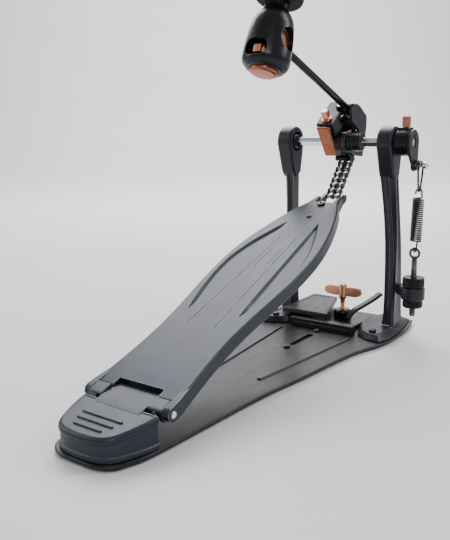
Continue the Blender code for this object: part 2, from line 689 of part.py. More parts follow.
def make_rod_socket():
    """Cross block between the cheeks that grips the foot of the beater rod."""
    section = [(-21, -4.6), (-21, 4.4), (-17, 6.2), (-9, 6.2), (-7.5, 4.4), (-7.5, -5.8), (-14, -5.8)]
    corners = [ABREAST + ROD_DIR * t + STRIKE_DIR * h for t, h in section]
    outline = [(point.y, point.z) for point in corners]
    socket = add_object("rod_socket", prism(outline, "X", -8.0, 8.0), "black_anodised", (0, 0, AXLE_Z))
    cut(socket, "socket_bore", rod(ROD_R + 0.3, ABREAST - ROD_DIR * 30, ABREAST, 20))


def make_beater_rod():
    start = ABREAST - ROD_DIR * 19
    end = HEAD + ROD_DIR * 5.6
    add_object("beater_rod", rod(ROD_R, start, end, 16), "black_nickel", ABREAST)


BARREL_SHIFT = -3.5
SCREW_SHIFT = -16.0


def make_beater_head():
    """Shell with side windows, a cross barrel on the rod, a lock screw, a rear plate and a felt disc."""
    profile = [(0, -26), (12, -26), (12, -28.2), (14.5, -28), (17.6, -25), (19.2, -21), (19.2, -17)]
    profile += [(18.6, -8), (17.6, 3), (16.2, 11.5), (14.2, 16.5), (10.4, 20.5), (9.8, 29), (0, 29)]
    body = add_object("beater_body", turned(profile, HEAD, STRIKE_DIR, 24), "black_anodised", HEAD)
    across = Vector((1, 0, 0))
    middle = HEAD + STRIKE_DIR * BARREL_SHIFT
    low = HEAD + STRIKE_DIR * SCREW_SHIFT
    cut(body, "barrel_bore", rod(9.4, middle - across * 25, middle + across * 25, 24))
    cut(body, "body_rod_hole", rod(ROD_R + GAP, HEAD - ROD_DIR * 30, HEAD, 16))
    cut(body, "screw_window", rod(6.8, low + ROD_DIR * 6, low + ROD_DIR * 30, 20))
    bar = rod(9.0, middle - across * 12, middle + across * 12, 24)
    barrel = add_object("beater_barrel", bar, "copper", HEAD)
    cut(barrel, "barrel_rod_hole", rod(ROD_R + GAP, HEAD - ROD_DIR * 30, HEAD + ROD_DIR * 30, 16))
    profile = [(0, 6.4), (2.2, 6.4), (2.2, 9.5), (4.8, 9.5), (5.2, 10), (5.2, 14.6), (4.4, 15.6), (0, 15.6)]
    add_object("beater_screw", turned(profile, low, ROD_DIR, 20), "copper", HEAD)
    profile = [(0, -31.2), (9.6, -31.2), (11.6, -29.4), (11.6, -26.3), (0, -26.3)]
    add_object("beater_back_plate", turned(profile, HEAD, STRIKE_DIR, 24), "copper", HEAD)
    profile = [(0, 29.3), (17, 29.3), (20, 31.5), (20, 43), (18, 45.2), (0, 46.2)]
    add_object("beater_felt", turned(profile, HEAD, STRIKE_DIR, 28), "felt", HEAD)


# ---- chain ----


def make_chain():
    """Anchored links, three wrapped pairs and the straight run down to the toe."""
    pairs = [ANCHOR - LINK_STEP - PAIR_STEP * k for k in range(4)]
    anchor = Vector(about_axle(ANCHOR, CHAIN_R))
    chain_piece("chain_anchor_link", anchor, Vector(about_axle(pairs[0], CHAIN_R)), 1, anchored=True)
    for k in range(3):
        start, end = (Vector(about_axle(angle, CHAIN_R)) for angle in pairs[k : k + 2])
        chain_piece(f"chain_wrap_{k + 1}", start, end, 2)
    chain_piece("chain_run", Vector(TANGENT_POINT), Vector(TOE), RUN_LINKS)


def chain_piece(name, start, end, links, anchored=False):
    """One stretch of a two-strand chain, as one solid. A hinged stretch is hollowed round its upper pin."""
    angle = math.atan2(end.y - start.y, end.x - start.x)
    frame = Matrix.Translation((0, start.x, start.y)) @ Matrix.Rotation(angle, 4, "X")
    length = links * CHAIN_PITCH
    side = []
    for i in range(links):
        side.append(((i + 0.5) * CHAIN_PITCH, -LINK_WAIST))
        if i < links - 1:
            side.append(((i + 1) * CHAIN_PITCH, -LINK_HALF))
    tip = arc((length, 0), LINK_HALF, -90, 90, 8)
    upper = [(x, -y) for x, y in side[::-1]]
    root = arc((0, 0), LINK_HALF, 90, 270, 8) if anchored else arc((0, 0), LINK_HALF + GAP, 45, -45, 6)
    body = prism(root + side + tip + upper, "X", -CHAIN_HALF, CHAIN_HALF)
    return add_object(name, moved(body, frame), "black_nickel", (0, start.x, start.y))


# ---- footboard ----

BOARD_HALF = [
    # place along the board, half width
    (6.4, 33.4), (60, 31.8), (110, 35.4), (150, 39.4), (185, 40.2),
    (215, 37.0), (245, 30.0), (270, 21.8), (284, 15.4), (297.5, 12.6),
]


LUG_SECTIONS = [
    # along the board, inner X, outer X, lowest, highest
    (-4.8, 32.9, 37.2, -2.0, 2.2),
    (-2.5, 32.9, 37.6, -4.7, 4.8),
    (0, 32.9, 37.6, -5.4, 5.4),
    (8, 32.9, 37.4, -6.0, 4.8),
    (24, 31.0, 35.4, -6.0, 4.2),
    (50, 28.5, 32.4, -6.0, 3.9),
]


def board_outline():
    """Footboard outline as (x, along), with the notch at the toe."""
    right = [(half, along) for along, half in BOARD_HALF]
    toe = [(9.0, 297.5), (8.8, 286)]
    return full_outline(right + toe)


def make_footboard():
    top, low = BOARD_TOP, BOARD_TOP - BOARD_DEPTH
    frame = board_matrix()
    rings = [[(x, s, low) for x, s in board_outline()], [(x, s, top) for x, s in board_outline()]]
    board = add_object("footboard", moved(loft(rings), frame), "black_coat", (0, HINGE_Y, HINGE_Z))
    pocket = [(half - 3, along) for along, half in BOARD_HALF[1:-2]]
    pocket = [(30.4, 24)] + pocket + [(16, 268)]
    cut(board, "board_pocket", moved(prism(full_outline(pocket), "Z", low - 1, top - 3), frame))
    notch = [(19.9, 0), (19.9, 14.5), (-19.9, 14.5), (-19.9, 0)]
    cut(board, "heel_notch", moved(prism(notch, "Z", -20, 20), frame))
    clamp_room = [(-12.2, 262), (12.2, 262), (12.2, 310), (-12.2, 310)]
    cut(board, "toe_clamp_room", moved(prism(clamp_room, "Z", low - 1, top - 3.2), frame))
    for side, sign in (("right", 1), ("left", -1)):
        rings = [[(sign * a, y, low_h), (sign * b, y, low_h), (sign * b, y, top_h), (sign * a, y, top_h)]
                 for y, a, b, low_h, top_h in LUG_SECTIONS]
        fuse(board, f"lug_{side}", moved(loft(rings), frame))
    cut(board, "lug_bore", rod(HINGE_BORE, (-45, HINGE_Y, HINGE_Z), (45, HINGE_Y, HINGE_Z)))
    return board


def make_hinge():
    pivot = (0, HINGE_Y, HINGE_Z)
    pin = [(0, -38.4), (1.9, -38.4), (HINGE_PIN_R, -38), (HINGE_PIN_R, 38), (1.9, 38.4), (0, 38.4)]
    add_object("hinge_pin", turned(pin, pivot, (1, 0, 0), 16), "black_nickel", pivot)
    frame = board_matrix()
    for side, sign in (("right", 1), ("left", -1)):
        low_x, high_x = sorted((sign * 20.4, sign * 32.5))
        outline = [(-4.8, -4.4), (6, -4.4), (6, 5.2), (-3.6, 5.2), (-4.8, 4.2)]
        body = moved(prism(outline, "X", low_x, high_x), frame)
        block = add_object(f"hinge_block_{side}", body, "black_coat", pivot)
        cut(block, f"block_bore_{side}", rod(HINGE_BORE, (-45, HINGE_Y, HINGE_Z), (45, HINGE_Y, HINGE_Z)))
        place = Vector(on_board(sign * 26.4, -5.1, 1.2))
        backward = frame.to_3x3() @ Vector((0, -1, 0))
        socket_screw(f"hinge_screw_{side}", place, backward, 2.7, 1.4, pivot=pivot)


def make_toe_clamp():
    """U-shaped bracket under the toe whose ears stand beside the chain's last link."""
    frame = board_matrix()
    pivot = (0, HINGE_Y, HINGE_Z)
    low = BOARD_TOP - BOARD_DEPTH
    body = moved(box((-11.8, 263, low + 0.2), (11.8, 285, low + 6.4)), frame)
    base = add_object("toe_clamp", body, "black_anodised", pivot)
    for side, sign in (("right", 1), ("left", -1)):
        low_x, high_x = sorted((sign * 8.6, sign * 11.8))
        ear = [(280, low + 0.2), (306, low + 0.2), (309, low + 3), (309, low + 6.4), (280, low + 6.4)]
        fuse(base, f"toe_ear_{side}", moved(prism(ear, "X", low_x, high_x), frame))
    normal = frame.to_3x3() @ Vector((0, 0, 1))
    for name, along, radius, height in (("front", 280.5, 3.6, 1.6), ("rear", 256, 2.2, 1.0)):
        seat = Vector(on_board(0, along, BOARD_TOP + GAP))
        socket_screw(f"toe_screw_{name}", seat, normal, radius, height, pivot=pivot)


# ---- assembly ----

PIVOTS = {
    # empty: (place, nodes that turn about it)
    "axle_pivot": (
        (0, 0, AXLE_Z),
        ["hex_shaft", "cam_rim", "cam_cheek_left", "cam_cheek_right", "cam_collar", "cam_screw",
         "clamp_block", "clamp_bolt", "stopper_plate", "rod_socket",
         "rocker_hub", "rocker_arm", "rocker_pin", "rocker_bolt",
         "chain_anchor_link", "chain_wrap_1", "chain_wrap_2", "chain_wrap_3", "chain_run",
         "beater_rod", "beater_body", "beater_barrel", "beater_screw", "beater_back_plate", "beater_felt"],
    ),
    "board_pivot": (
        (0, HINGE_Y, HINGE_Z),
        ["footboard", "hinge_block_left", "hinge_block_right", "hinge_screw_left", "hinge_screw_right",
         "toe_clamp", "toe_screw_front", "toe_screw_rear"],
    ),
    "spring_pivot": ((SPRING_X, EYE_Y, EYE_Z), ["spring", "spring_link"]),
}


def parent_to_pivots():
    for name, (place, children) in PIVOTS.items():
        empty = bpy.data.objects.new(name, None)
        bpy.context.scene.collection.objects.link(empty)
        empty.location = Vector(place) * MM
        empty.empty_display_size = 0.02
        for child in children:
            obj = bpy.data.objects[child]
            obj.parent = empty
            obj.matrix_parent_inverse = Matrix.Translation(-empty.location)


def main():
    clear_scene()
    make_base_plate()
    make_base_rubber()
    make_heel_plate()
    make_feet()
    make_posts()
    make_bridge()
    make_root_screws()
    make_hoop_clamp()
    make_wing_bolt()
    make_spring_bracket()
    make_eye_bolt()
    make_spring()
    make_spring_link()
    make_rocker()
    make_hex_shaft()
    make_cheeks()
    make_cam_rim()
    make_clamp_block()
    make_rod_socket()
    make_beater_rod()
    make_beater_head()
    make_chain()
    make_footboard()
    make_hinge()
    make_toe_clamp()
    parent_to_pivots()


main()
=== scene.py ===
"""Looks of the bass drum pedal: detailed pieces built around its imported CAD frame.

Builders work in millimetres in the CAD frame and turn their meshes into metres.
"""
import json
import math

import bmesh
import bpy
from mathutils import Matrix, Vector


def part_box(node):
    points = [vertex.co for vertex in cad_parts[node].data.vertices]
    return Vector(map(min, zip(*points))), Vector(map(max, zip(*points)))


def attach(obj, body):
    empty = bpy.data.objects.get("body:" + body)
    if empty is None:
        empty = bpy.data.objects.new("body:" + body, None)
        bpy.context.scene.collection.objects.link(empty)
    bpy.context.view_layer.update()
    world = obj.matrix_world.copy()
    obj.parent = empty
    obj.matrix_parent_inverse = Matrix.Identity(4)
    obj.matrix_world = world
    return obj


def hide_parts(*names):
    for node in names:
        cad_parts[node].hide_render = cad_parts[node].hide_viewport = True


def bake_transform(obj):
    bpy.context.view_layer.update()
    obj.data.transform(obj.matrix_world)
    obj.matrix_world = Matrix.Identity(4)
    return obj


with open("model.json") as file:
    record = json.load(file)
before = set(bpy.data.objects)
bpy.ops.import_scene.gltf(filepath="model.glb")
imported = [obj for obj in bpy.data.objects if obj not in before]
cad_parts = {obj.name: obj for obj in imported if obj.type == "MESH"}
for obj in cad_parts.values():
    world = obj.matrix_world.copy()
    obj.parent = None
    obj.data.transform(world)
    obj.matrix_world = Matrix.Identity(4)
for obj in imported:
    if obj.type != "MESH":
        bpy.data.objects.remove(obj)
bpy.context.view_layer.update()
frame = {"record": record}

MM = 0.001
X_AXIS = (1, 0, 0)
Z_AXIS = (0, 0, 1)
SIDES = (("right", 1), ("left", -1))
ROUND_ANGLE = math.radians(28)
HINGE_BORE_R = 2.6
ROD_BORE_R = 3.5
RECORD = frame["record"]
BODY_OF = {node: body for body, nodes in RECORD["behaviour"]["bodies"].items() for node in nodes}
SLOT_OF = {row["node"]: row["material_slot"] for row in RECORD["subparts"]}
JOINTS = {joint["name"]: joint for joint in RECORD["behaviour"]["joints"]}


def joint_place(name):
    return Vector(JOINTS[name]["pos_m"]) / MM


def corners(node):
    """Lowest and highest corner of a CAD node, in millimetres."""
    low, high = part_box(node)
    return low / MM, high / MM


# ---- driving places, from the frame ----
AXLE = joint_place("axle_turn")
AXLE_Z = AXLE.z
HINGE = joint_place("board_tilt")
EYE = joint_place("spring_swing")
HEAD = joint_place("head_spin")
WING = joint_place("wing_bolt_turn")
ROD_DIR = Vector(JOINTS["rod_height"]["axis"]).normalized()
STRIKE_DIR = Vector((0, ROD_DIR.z, -ROD_DIR.y))
SPRING_DIR = Vector(JOINTS["spring_stretch"]["axis"]).normalized()
CHAIN_PITCH = 6.35
CHAIN_LEAN = math.radians(39.6)
PINS = [joint_place(f"chain_{k}_bend") for k in range(1, 5)]
CHAIN_R = (PINS[0] - AXLE).length
RUN_LINKS = 7
TOE = PINS[3] + Vector((0, -math.sin(CHAIN_LEAN), -math.cos(CHAIN_LEAN))) * CHAIN_PITCH * RUN_LINKS
BOARD_TILT = math.atan2(TOE.z - HINGE.z, TOE.y - HINGE.y)
BOARD_FRAME = Matrix.Translation(HINGE) @ Matrix.Rotation(BOARD_TILT, 4, "X")
BOARD_TOP = 4.0
BOARD_LOW = -6.0
GAP = 0.3
ROD_OFFSET = 35.2
ABREAST = AXLE + STRIKE_DIR * ROD_OFFSET
HUB_TILT = math.radians(36.0)
HUB_FRAME = Matrix.Translation(AXLE) @ Matrix.Rotation(HUB_TILT, 4, "X")
HEX_R = 8.2 / math.sqrt(3)
PLATE_LOW = corners("base_plate")[0].z
PLATE_TOP = 4.4
DECK = PLATE_TOP + GAP


# ---- meshes, in millimetres ----


def skin(bm, pairs):
    """Joins each pair of rings of vertices with four-sided faces."""
    for low, high in pairs:
        for i in range(len(low)):
            j = (i + 1) % len(low)
            bm.faces.new((low[i], low[j], high[j], high[i]))


def loft(rings, closed=False):
    """A solid through rings of points; a closed one joins its last ring to its first, like a tyre."""
    bm = bmesh.new()
    rows = [[bm.verts.new(point) for point in ring] for ring in rings]
    if closed:
        skin(bm, zip(rows, rows[1:] + rows[:1]))
    else:
        skin(bm, zip(rows, rows[1:]))
        bm.faces.new(rows[0])
        bm.faces.new(rows[-1])
    return bm


def prism(outline, axis, low, high):
    """An outline extruded along X, Y or Z; its points are the two other coordinates in XYZ order."""
    at = "XYZ".index(axis)
    return loft([[(*p[:at], depth, *p[at:]) for p in outline] for depth in (low, high)])


def side_prism(outline, sign, near, far):
    """A YZ outline extruded along X between two distances from the middle plane, on one side of it."""
    return prism(outline, "X", *sorted((sign * near, sign * far)))


def box(low, high):
    outline = [(low[0], low[1]), (high[0], low[1]), (high[0], high[1]), (low[0], high[1])]
    return prism(outline, "Z", low[2], high[2])


def arc(centre, radius, start, end, steps):
    """Points of an arc, from the start angle to the end angle in degrees, both included."""
    angles = [math.radians(start + (end - start) * i / steps) for i in range(steps + 1)]
    return [(centre[0] + radius * math.cos(a), centre[1] + radius * math.sin(a)) for a in angles]


def circle(centre, radius, sides):
    return arc(centre, radius, 0, 360, sides)[:-1]


def stadium(half_width, y, radius, steps):
    """Two half circles that stand apart along X, as one outline."""
    return arc((half_width, y), radius, -90, 90, steps) + arc((-half_width, y), radius, 90, 270, steps)


def spline(points, steps=5):
    """A smooth open curve through the points (Catmull-Rom), as a longer list of points."""
    pts = [Vector(p) for p in points]
    pts = [2 * pts[0] - pts[1]] + pts + [2 * pts[-1] - pts[-2]]
    curve = []
    for a, b, c, d in zip(pts, pts[1:], pts[2:], pts[3:]):
        for i in range(steps):
            t = i / steps
            curve.append(0.5 * (2 * b + (c - a) * t + (2 * a - 5 * b + 4 * c - d) * t * t
                                + (3 * b - a - 3 * c + d) * t ** 3))
    return [tuple(p) for p in curve + [pts[-2]]]


def frame_to(direction):
    """Rotation that takes +Z to the given direction."""
    return Vector(Z_AXIS).rotation_difference(Vector(direction).normalized()).to_matrix().to_4x4()


def moved(bm, matrix):
    bmesh.ops.transform(bm, matrix=matrix, verts=bm.verts)
    return bm


def placed(bm, base, direction):
    return moved(bm, Matrix.Translation(Vector(base)) @ frame_to(direction))


def turned(profile, base, direction, sides=48):
    """A turned solid: profile lists (radius, height), from the axis at one end to the axis at the other."""
    bm = bmesh.new()
    rows = []
    for radius, height in profile:
        if radius < 1e-6:
            rows.append([bm.verts.new((0, 0, height))])
        else:
            rows.append([bm.verts.new((x, y, height)) for x, y in circle((0, 0), radius, sides)])
    for low, high in zip(rows, rows[1:]):
        for i in range(sides):
            j = (i + 1) % sides
            ring = [low[i % len(low)], low[j % len(low)], high[j % len(high)], high[i % len(high)]]
            around = list(dict.fromkeys(ring))
            if len(around) > 2:
                bm.faces.new(around)
    return placed(bm, base, direction)


def rod(radius, start, end, sides=40):
    span = Vector(end) - Vector(start)
    return turned([(0, 0), (radius, 0), (radius, span.length), (0, span.length)], start, span, sides)


def turned_ring(profile, base, direction, sides=48):
    """A closed profile of (radius, height) swept round the axis."""
    rings = [[(x, y, height) for x, y in circle((0, 0), radius, sides)] for radius, height in profile]
    return placed(loft(rings, closed=True), base, direction)


def both_ends(profile, middle=0.0):
    """A profile's lower half of (radius, height), followed by its mirror image about the middle height."""
    return profile + [(radius, 2 * middle - height) for radius, height in profile[::-1]]


def wire(points, radius, sides=12, closed=False):
    """A round wire through points; a closed one joins its ends."""
    pts = [Vector(p) for p in points]
    count = len(pts)
    section = circle((0, 0), 1.0, sides)
    bm = bmesh.new()
    rows = []
    side = None
    for i, point in enumerate(pts):
        before = pts[i - 1] if i or closed else point
        after = pts[(i + 1) % count] if i < count - 1 or closed else point
        along = (after - before).normalized()
        side = along.orthogonal().normalized() if side is None else side
        side = (side - along * side.dot(along)).normalized()
        up = along.cross(side)
        rows.append([bm.verts.new(point + radius * (side * x + up * y)) for x, y in section])
    skin(bm, zip(rows, rows[1:]))
    if closed:
        shift = min(range(sides), key=lambda k: (rows[-1][0].co - rows[0][k].co).length)
        skin(bm, [(rows[-1], rows[0][shift:] + rows[0][:shift])])
    else:
        bm.faces.new(rows[0])
        bm.faces.new(rows[-1])
    return bm


def on_side(points, sign):
    """The points as they are, or for sign -1 their mirror image in the middle plane."""
    return [(sign * x, *rest) for x, *rest in points]


def full_outline(half):
    """Closes a right-hand half outline with its mirror image."""
    return half + on_side(half, -1)[::-1]


def inset_outline(outline, distance):
    """The outline moved inwards by a distance; for outlines that turn gently or at square corners."""
    pts = [Vector(p) for p in outline]
    area = sum(a.x * b.y - b.x * a.y for a, b in zip(pts, pts[1:] + pts[:1]))
    turn = 1 if area > 0 else -1
    result = []
    for i, p in enumerate(pts):
        before, after = (p - pts[i - 1]).normalized(), (pts[(i + 1) % len(pts)] - p).normalized()
        normal = Vector((-before.y - after.y, before.x + after.x))
        if normal.length < 1e-6:
            normal = Vector((-before.y, before.x))
        normal.normalize()
        stretch = max(0.5, abs(normal.dot(Vector((-before.y, before.x)))))
        result.append(tuple(p + normal * turn * distance / stretch))
    return result


def slab(outline, low, high, radius, rim=4):
    """A flat solid whose upper edge is rounded by a quarter circle."""
    rings = [[(*p, low) for p in outline]]
    for k in range(rim + 1):
        turn = math.pi / 2 * k / rim
        inset, z = radius * (1 - math.cos(turn)), high - radius * (1 - math.sin(turn))
        rings.append([(*p, z) for p in inset_outline(outline, inset)])
    return loft(rings)


def on_axle(x):
    return (x, 0, AXLE_Z)


def about_axle(angle, radius):
    """A point in the YZ plane, at an angle from +Y and a distance from the axle's axis."""
    turn = math.radians(angle)
    return (radius * math.cos(turn), AXLE_Z + radius * math.sin(turn))


def in_hub(a, b):
    point = HUB_FRAME @ Vector((0, a, b))
    return (point.y, point.z)


def on_board(x, along, height):
    return BOARD_FRAME @ Vector((x, along, height))


def hinge_bore(reach=45):
    return rod(HINGE_BORE_R, (-reach, HINGE.y, HINGE.z), (reach, HINGE.y, HINGE.z))


# the outline of a hole for the hexagonal shaft, as (y, z)
HEX_HOLE = circle((0, AXLE_Z), HEX_R + 0.35, 6)


# ---- pieces ----


def plain_object(name, bm):
    bmesh.ops.scale(bm, verts=bm.verts, vec=(MM, MM, MM))
    bmesh.ops.recalc_face_normals(bm, faces=bm.faces)
    mesh = bpy.data.meshes.new(name)
    bm.to_mesh(mesh)
    bm.free()
    obj = bpy.data.objects.new(name, mesh)
    bpy.context.scene.collection.objects.link(obj)
    return obj


def settle(obj):
    """Applies the object's modifiers to its mesh."""
    graph = bpy.context.evaluated_depsgraph_get()
    obj.data = bpy.data.meshes.new_from_object(obj.evaluated_get(graph))
    obj.modifiers.clear()


def round_off(obj, width, segments):
    """Rounds the object's sharp edges."""
    mod = obj.modifiers.new("Round", "BEVEL")
    mod.width = width * MM
    mod.segments = segments
    mod.limit_method = "ANGLE"
    mod.angle_limit = ROUND_ANGLE
    mod.use_clamp_overlap = True
    settle(obj)


def taken(obj):
    """The object's mesh, back in millimetres; the object itself is removed."""
    bm = bmesh.new()
    bm.from_mesh(obj.data)
    bmesh.ops.scale(bm, verts=bm.verts, vec=(1 / MM,) * 3)
    bpy.data.objects.remove(obj, do_unlink=True)
    return bm


def join(bm):
    return ("UNION", bm)


def cut(bm):
    return ("DIFFERENCE", bm)


def carve(obj, steps):
    """Carries out steps on the object: a list of solids from join() and cut(), in order."""
    helpers = []
    for operation, bm in steps:
        helper = plain_object("helper", bm)
        mod = obj.modifiers.new("Carve", "BOOLEAN")
        mod.operation = operation
        mod.solver = "EXACT"
        mod.object = helper
        helpers.append(helper)
    settle(obj)
    for helper in helpers:
        bpy.data.objects.remove(helper, do_unlink=True)


def piece(name, bm, look, nodes, steps=(), round_edges=0.0, segments=3, crease=32, body=None, slot=None):
    """A visible piece that stands for CAD nodes: carved, its edges rounded, shaded and given its finish."""
    nodes = [nodes] if isinstance(nodes, str) else list(nodes)
    obj = plain_object(name, bm)
    if steps:
        carve(obj, steps)
    if round_edges:
        round_off(obj, round_edges, segments)
    obj.data.shade_smooth()
    obj.data.set_sharp_from_angle(angle=math.radians(crease))
    weighted = obj.modifiers.new("Normals", "WEIGHTED_NORMAL")
    weighted.keep_sharp = True
    obj.data.materials.clear()
    obj.data.materials.append(look)
    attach(obj, body or BODY_OF[nodes[0]])
    if nodes:
        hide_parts(*nodes)
    return obj


def extra(name, bm, look, like, **options):
    """A piece with no CAD node of its own, on the body of the node it belongs to."""
    return piece(name, bm, look, [], body=BODY_OF[like], slot=SLOT_OF[like], **options)


# ---- finishes ----


class Nodes:
    """Builds a Principled material's node tree."""

    def __init__(self, name):
        self.mat = bpy.data.materials.new(name)
        self.mat.use_nodes = True
        self.tree = self.mat.node_tree
        self.shader = self.tree.nodes["Principled BSDF"]
        self.place = self.add("ShaderNodeTexCoord").outputs["Object"]

    def add(self, kind, values=None, **settings):
        """A new node: settings are its properties, and values says what each of its inputs gets."""
        node = self.tree.nodes.new(kind)
        for key, value in settings.items():
            setattr(node, key, value)
        for key, value in (values or {}).items():
            self.feed(node.inputs[key], value)
        return node

    def feed(self, socket, value):
        """Sets an input to a number, vector or RGB colour, or links another node's output to it."""
        if isinstance(value, bpy.types.NodeSocket):
            self.tree.links.new(value, socket)
        else:
            socket.default_value = (*value, 1.0) if socket.type == "RGBA" else value

    def noise(self, scale, detail=4.0, stretch=None, rough=0.55):
        """Noise over the piece, with scale in cells per metre; stretch squeezes it along axes."""
        place = self.place
        if stretch:
            place = self.add("ShaderNodeMapping", {"Vector": place, "Scale": stretch}).outputs["Vector"]
        values = {"Vector": place, "Scale": scale, "Detail": detail, "Roughness": rough}
        return self.add("ShaderNodeTexNoise", values).outputs["Fac"]

    def spread(self, value, low, high, from_low=0.3, from_high=0.7):
        """Takes values from from_low to from_high to the range from low to high."""
        values = {"Value": value, "From Min": from_low, "From Max": from_high, "To Min": low, "To Max": high}
        return self.add("ShaderNodeMapRange", values).outputs["Result"]

    def maths(self, operation, a, b):
        return self.add("ShaderNodeMath", {0: a, 1: b}, operation=operation).outputs["Value"]

    def blend(self, a, share_a, b, share_b):
        """The weighted sum of two values."""
        return self.maths("ADD", self.maths("MULTIPLY", a, share_a), self.maths("MULTIPLY", b, share_b))

    def mix(self, fac, a, b):
        """Colour a where the factor is 0, and colour b where it is 1."""
        node = self.add("ShaderNodeMix", {"Factor": fac}, data_type="RGBA")
        colours = [s for s in node.inputs if s.type == "RGBA"]
        self.feed(colours[0], a)
        self.feed(colours[1], b)
        return [s for s in node.outputs if s.type == "RGBA"][0]

    def edges(self, width, strength):
        """Mask for the painted edge highlight: up to strength along sharp edges and 0 on flat faces, broken
        up by noise; width in mm.
        """
        rounded = self.add("ShaderNodeBevel", {"Radius": width * MM}, samples=6).outputs["Normal"]
        flat = self.add("ShaderNodeNewGeometry").outputs["Normal"]
        dot = self.add("ShaderNodeVectorMath", {0: rounded, 1: flat}, operation="DOT_PRODUCT")
        sharp = self.spread(dot.outputs["Value"], 1.0, 0.0, 0.86, 0.995)
        # noise that breaks up the painted edge highlight
        highlight_breakup = self.spread(self.noise(420.0, 6.0, rough=0.7), 0.45, 1.0, 0.42, 0.6)
        return self.maths("MULTIPLY", self.maths("MULTIPLY", sharp, highlight_breakup), strength)

    def finish(self, colour, rough, bumps):
        """Feeds the shader; bumps lists (height, strength, distance in mm)."""
        shader = self.shader.inputs
        self.feed(shader["Base Color"], colour)
        self.feed(shader["Roughness"], rough)
        before = {}
        for height, strength, distance in bumps:
            values = {"Height": height, "Strength": strength, "Distance": distance * MM, **before}
            before = {"Normal": self.add("ShaderNodeBump", values).outputs["Normal"]}
        self.feed(shader["Normal"], before["Normal"])
        return self.mat


def coat_look(name, colour, dark, edge_highlight, metallic, rough, grain, height, highlight_strength=0.5, width=0.5):
    """Satin coating over metal: cloudy tone, fine grain, and a painted highlight along the edges."""
    n = Nodes(name)
    cloud = n.spread(n.noise(38.0, 3.0), 0.0, 1.0, 0.35, 0.65)
    base = n.mix(cloud, dark, colour)
    # painted highlight: sharp edges mixed towards a bright colour
    base = n.mix(n.edges(width, highlight_strength), base, edge_highlight)
    fine = n.noise(grain, 3.0)
    smear = n.noise(120.0, 5.0, (1.0, 0.35, 1.0))
    roughness = n.spread(n.blend(smear, 0.7, fine, 0.3), *rough, 0.38, 0.62)
    n.shader.inputs["Metallic"].default_value = metallic
    n.shader.inputs["Specular IOR Level"].default_value = 0.55
    return n.finish(base, roughness, [(fine, 0.35, height), (smear, 0.06, 0.05)])


def metal_look(name, colour, dark, edge_highlight, rough, brushed, scratch, highlight_strength):
    """Bare or plated metal: fine drawn scratches, hazy patches and a painted highlight along the edges."""
    n = Nodes(name)
    patch = n.spread(n.noise(150.0, 5.0), 0.0, 1.0, 0.35, 0.7)
    base = n.mix(patch, dark, colour)
    # painted highlight: sharp edges mixed towards a bright colour
    base = n.mix(n.edges(0.35, highlight_strength), base, edge_highlight)
    lines = n.noise(900.0, 4.0, brushed, 0.7)
    roughness = n.spread(n.blend(patch, 0.25, lines, 0.75), *rough, 0.3, 0.75)
    n.shader.inputs["Metallic"].default_value = 1.0
    return n.finish(base, roughness, [(lines, 0.25, scratch)])


def rubber_look(name):
    n = Nodes(name)
    speck = n.noise(2600.0, 2.0)
    cloud = n.spread(n.noise(60.0), 0.0, 1.0)
    base = n.mix(cloud, (0.012, 0.012, 0.013), (0.028, 0.028, 0.03))
    # painted highlight: edges mixed towards a lighter grey
    base = n.mix(n.edges(0.6, 0.5), base, (0.06, 0.06, 0.062))
    rough = n.spread(speck, 0.72, 0.92)
    return n.finish(base, rough, [(speck, 0.5, 0.12)])


def felt_look(name):
    n = Nodes(name)
    fibre = n.noise(1500.0, 8.0, (1.0, 1.0, 1.0), 0.75)
    tuft = n.noise(240.0, 4.0)
    base = n.mix(n.spread(tuft, 0.0, 1.0), (0.008, 0.008, 0.009), (0.02, 0.02, 0.0215))
    rough = n.spread(fibre, 0.88, 1.0)
    n.shader.inputs["Sheen Weight"].default_value = 0.03
    n.shader.inputs["Sheen Roughness"].default_value = 0.6
    return n.finish(base, rough, [(fibre, 0.8, 0.5), (tuft, 0.4, 0.8)])


# Coats: colour, darker patches, colour of the painted edge highlight; then metallic, roughness range, grain
# in cells per metre, grain height in mm, how strong the painted edge highlight is, and how wide in mm.
BOARD_LOOK = coat_look("board_satin", (0.03, 0.033, 0.045), (0.027, 0.03, 0.041), (0.32, 0.335, 0.37),
                       0.6, (0.39, 0.43), 3600.0, 0.05, 0.7, 1.0)
CAST_LOOK = coat_look("cast_satin", (0.026, 0.0275, 0.033), (0.021, 0.022, 0.026), (0.34, 0.35, 0.38),
                      0.6, (0.3, 0.4), 3000.0, 0.06, 0.8, 0.9)
PLATE_LOOK = coat_look("plate_satin", (0.016, 0.017, 0.02), (0.012, 0.0125, 0.015), (0.26, 0.265, 0.28),
                       0.5, (0.28, 0.4), 2600.0, 0.06, 0.6)
JAW_LOOK = coat_look("jaw_satin", (0.036, 0.038, 0.042), (0.031, 0.032, 0.036), (0.28, 0.28, 0.29),
                     0.65, (0.36, 0.46), 3000.0, 0.05, 0.5)
HINGE_LOOK = coat_look("hinge_satin", (0.07, 0.074, 0.086), (0.06, 0.063, 0.074), (0.36, 0.37, 0.39),
                       0.7, (0.36, 0.44), 3000.0, 0.05, 0.7)
DARK_LOOK = coat_look("dark_anodised", (0.022, 0.022, 0.025), (0.016, 0.016, 0.018), (0.28, 0.28, 0.29),
                      0.8, (0.24, 0.34), 4200.0, 0.03, 0.5, 0.35)
BEATER_LOOK = coat_look("beater_anodised", (0.026, 0.026, 0.03), (0.02, 0.02, 0.023), (0.34, 0.34, 0.35),
                        0.85, (0.24, 0.33), 4200.0, 0.03, 0.6, 0.4)
